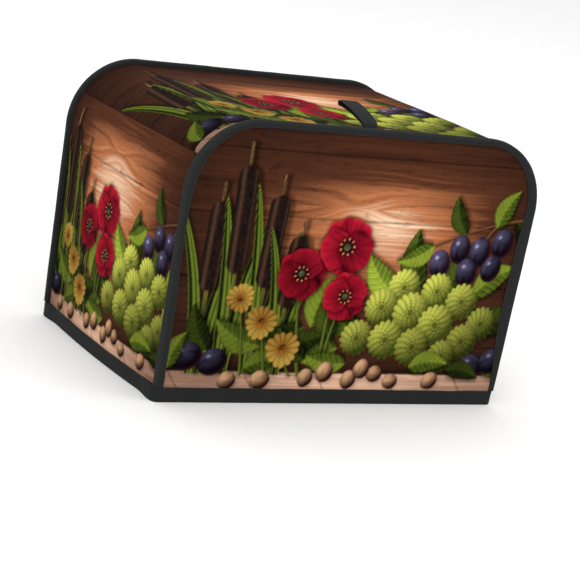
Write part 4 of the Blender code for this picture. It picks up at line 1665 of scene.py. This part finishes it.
@dataclass
class PullLoop:
    """The tape loop in the front seam: a flattened hairpin that lies back over the top."""

    cover: Cover
    material: bpy.types.Material
    place: float = -0.0070
    root_width: float = 0.0095
    end_width: float = 0.0150
    root_space: float = 0.0004
    end_space: float = 0.0028
    steps: int = 48
    fold_steps: int = 14
    behind: tuple[float, ...] = (0.0000, 0.0004, 0.0028, 0.0095, 0.0200, 0.0300, 0.0365)
    above: tuple[float, ...] = (-0.0030, -0.0004, 0.0022, 0.0049, 0.0079, 0.0098, 0.0105)

    def route(self) -> tuple[np.ndarray, np.ndarray]:
        """A Catmull-Rom curve through the route's points.

        Returns:
            Places and unit directions, as behind and above.
        """
        known = np.stack([self.behind, self.above], axis=1)
        known = np.vstack([2 * known[0] - known[1], known, 2 * known[-1] - known[-2]])
        share = np.linspace(0, len(known) - 3, self.steps + 1)
        span = np.minimum(share.astype(int), len(known) - 4)
        t = (share - span)[:, None]
        a, b, c, d = (known[span + k] for k in range(4))
        two, three = 2 * a - 5 * b + 4 * c - d, 3 * b - a - 3 * c + d
        places = 0.5 * (2 * b + (c - a) * t + two * t**2 + three * t**3)
        ahead = 0.5 * ((c - a) + 2 * two * t + 3 * three * t**2)
        return places, ahead / np.linalg.norm(ahead, axis=1)[:, None]

    def hairpin(self) -> tuple[np.ndarray, np.ndarray, np.ndarray]:
        """The tape's own middle line: along the lower layer, round the fold, and back along the upper one.

        Returns:
            Places, outward directions and half widths.
        """
        places, ahead = self.route()
        normal = np.stack([-ahead[:, 1], ahead[:, 0]], axis=1)
        share = np.linspace(0, 1, self.steps + 1)
        apart = (self.cover.tape + self.root_space + (self.end_space - self.root_space) * share**2) / 2
        half = (self.root_width + (self.end_width - self.root_width) * np.sin(0.5 * math.pi * share)) / 2
        angle = np.radians(np.linspace(-90, 90, self.fold_steps + 1)[1:-1])[:, None]
        away = ahead[-1] * np.cos(angle) + normal[-1] * np.sin(angle)
        lower, upper = places - normal * apart[:, None], places + normal * apart[:, None]
        line = np.concatenate([lower, places[-1] + apart[-1] * away, upper[::-1]])
        outward = np.concatenate([-normal, away, normal[::-1]])
        width = np.concatenate([half, np.full(len(angle), half[-1]), half[::-1]])
        return line, outward, width

    def tape(self) -> Surface:
        """Carries a flat section with rounded edges along the hairpin."""
        c = self.cover
        line, outward, width = self.hairpin()
        root = c.seam_thick + c.gap + c.tape + self.root_space / 2 - c.half_depth
        across = np.concatenate([np.linspace(-1, 1, 9), np.linspace(1, -1, 9)])
        over = np.concatenate([np.full(9, 0.5), np.full(9, -0.5)])
        soft = np.abs(across) > 0.99
        over = np.where(soft, over * 0.4, over)
        gaps = np.hypot(*np.diff(line, axis=0).T)
        run = np.concatenate([[0], np.cumsum(gaps)])
        wander = 1 + 0.02 * (layered_noise(run / 0.008, 0 * run, 83, 2) * 2 - 1)
        bow = 0.00012 * (layered_noise(run[:, None] / 0.012, across[None] * 2.0, 89, 2) * 2 - 1)
        lift = over[None] * c.tape + bow * (np.abs(over[None]) > 0)
        x = self.place + across[None] * (width * wander)[:, None]
        y = root + line[:, :1] + outward[:, :1] * lift
        z = c.height + line[:, 1:] + outward[:, 1:] * lift
        surface = swept_surface(c.settle(np.stack(np.broadcast_arrays(x, y, z), axis=-1)), closed=False)
        surface.places = np.stack(np.broadcast_arrays(run[:, None], (across * 0.0075)[None]), axis=-1)
        surface.numbers["wear"] = np.tile(np.where(soft, 0.7, 0.0), len(run))
        return surface

    def build(self) -> bpy.types.Object:
        """Makes the loop."""
        piece = self.tape().piece("loop_tape", self.material, 60.0)
        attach(piece, "root")
        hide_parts("pull_loop")
        LOG.info("%s: %d faces", piece.name, len(piece.data.polygons))
        return piece


@dataclass
class Studio:
    """The pale floor, soft light, and the camera at the photograph's angle."""

    azimuth: float = -30.88
    elevation: float = 13.51
    roll: float = 10.18
    eye: tuple[float, float, float] = (-0.80326, -1.36348, 0.43890)
    lens: float = 129.47
    sensor: float = 36.0
    floor_size: float = 60.0
    world: float = 0.90

    def floor(self) -> None:
        """A large plane on the surface that the cover stands on."""
        half = self.floor_size / 2
        corners = np.array([[-half, -half, 0], [half, -half, 0], [half, half, 0], [-half, half, 0]])
        mesh = bpy.data.meshes.new("floor")
        mesh.from_pydata(corners.tolist(), [], [(0, 1, 2, 3)])
        mesh.materials.append(PaleFloor().material())
        obj = bpy.data.objects.new("floor", mesh)
        bpy.context.scene.collection.objects.link(obj)

    def camera(self) -> None:
        """Stands the camera at its fitted place, looks along its azimuth and elevation, and rolls it."""
        a, e, r = (math.radians(v) for v in (self.azimuth, self.elevation, self.roll))
        back = Vector((math.sin(a) * math.cos(e), -math.cos(a) * math.cos(e), math.sin(e)))
        level = Vector((0, 0, 1)).cross(back).normalized()
        upright = back.cross(level)
        right = level * math.cos(r) + upright * math.sin(r)
        up = back.cross(right)
        data = bpy.data.cameras.new("camera")
        data.lens, data.sensor_width, data.sensor_fit = self.lens, self.sensor, "HORIZONTAL"
        data.clip_end = 50.0
        obj = bpy.data.objects.new("camera", data)
        turned = Matrix((right, up, back)).transposed().to_4x4()
        obj.matrix_world = Matrix.Translation(self.eye) @ turned
        bpy.context.scene.collection.objects.link(obj)
        bpy.context.scene.camera = obj

    def lamp(self, name: str, place: tuple[float, float, float], size: float, power: float) -> None:
        """A square soft light that faces the middle of the cover."""
        data = bpy.data.lights.new(name, "AREA")
        data.shape, data.size, data.energy = "SQUARE", size, power
        obj = bpy.data.objects.new(name, data)
        aim = Vector((0, 0, 0.1)) - Vector(place)
        obj.matrix_world = Matrix.Translation(place) @ aim.to_track_quat("-Z", "Y").to_matrix().to_4x4()
        bpy.context.scene.collection.objects.link(obj)

    def build(self) -> None:
        """Makes the floor, the world's light, the lamps and the camera."""
        self.floor()
        world = bpy.data.worlds.new("studio")
        world.use_nodes = True
        world.node_tree.nodes["Background"].inputs["Color"].default_value = (1.0, 1.0, 1.0, 1.0)
        world.node_tree.nodes["Background"].inputs["Strength"].default_value = self.world
        bpy.context.scene.world = world
        bpy.context.scene.view_settings.view_transform = "Standard"
        self.lamp("key", (-1.6, -2.4, 2.6), 2.2, 38.0)
        self.lamp("fill", (2.6, -2.0, 1.6), 2.4, 12.0)
        self.lamp("high", (0.2, 0.8, 3.2), 2.6, 22.0)
        self.camera()


@dataclass
class Declarations:
    """Holds only the cover; it lists nothing of what each sheet was cut to."""

    cover: Cover


def main() -> None:
    """Builds the cover piece by piece."""
    cover = Cover()
    cloth, tape, thread = PrintedCloth().material(), WovenTape().material(), Thread().material()
    panels = ClothPanels(cover, cloth).build()
    tapes = {
        "front": SeamTape(cover, -1, "front", tape).build(thread),
        "back": SeamTape(cover, 1, "back", tape).build(thread),
        "hem": HemTape(cover, tape).build(thread),
        "loop": (PullLoop(cover, tape).build(),),
    }
    Studio().build()


if __name__ == "__main__":
    logging.basicConfig(level=logging.INFO, format="%(message)s")
    main()
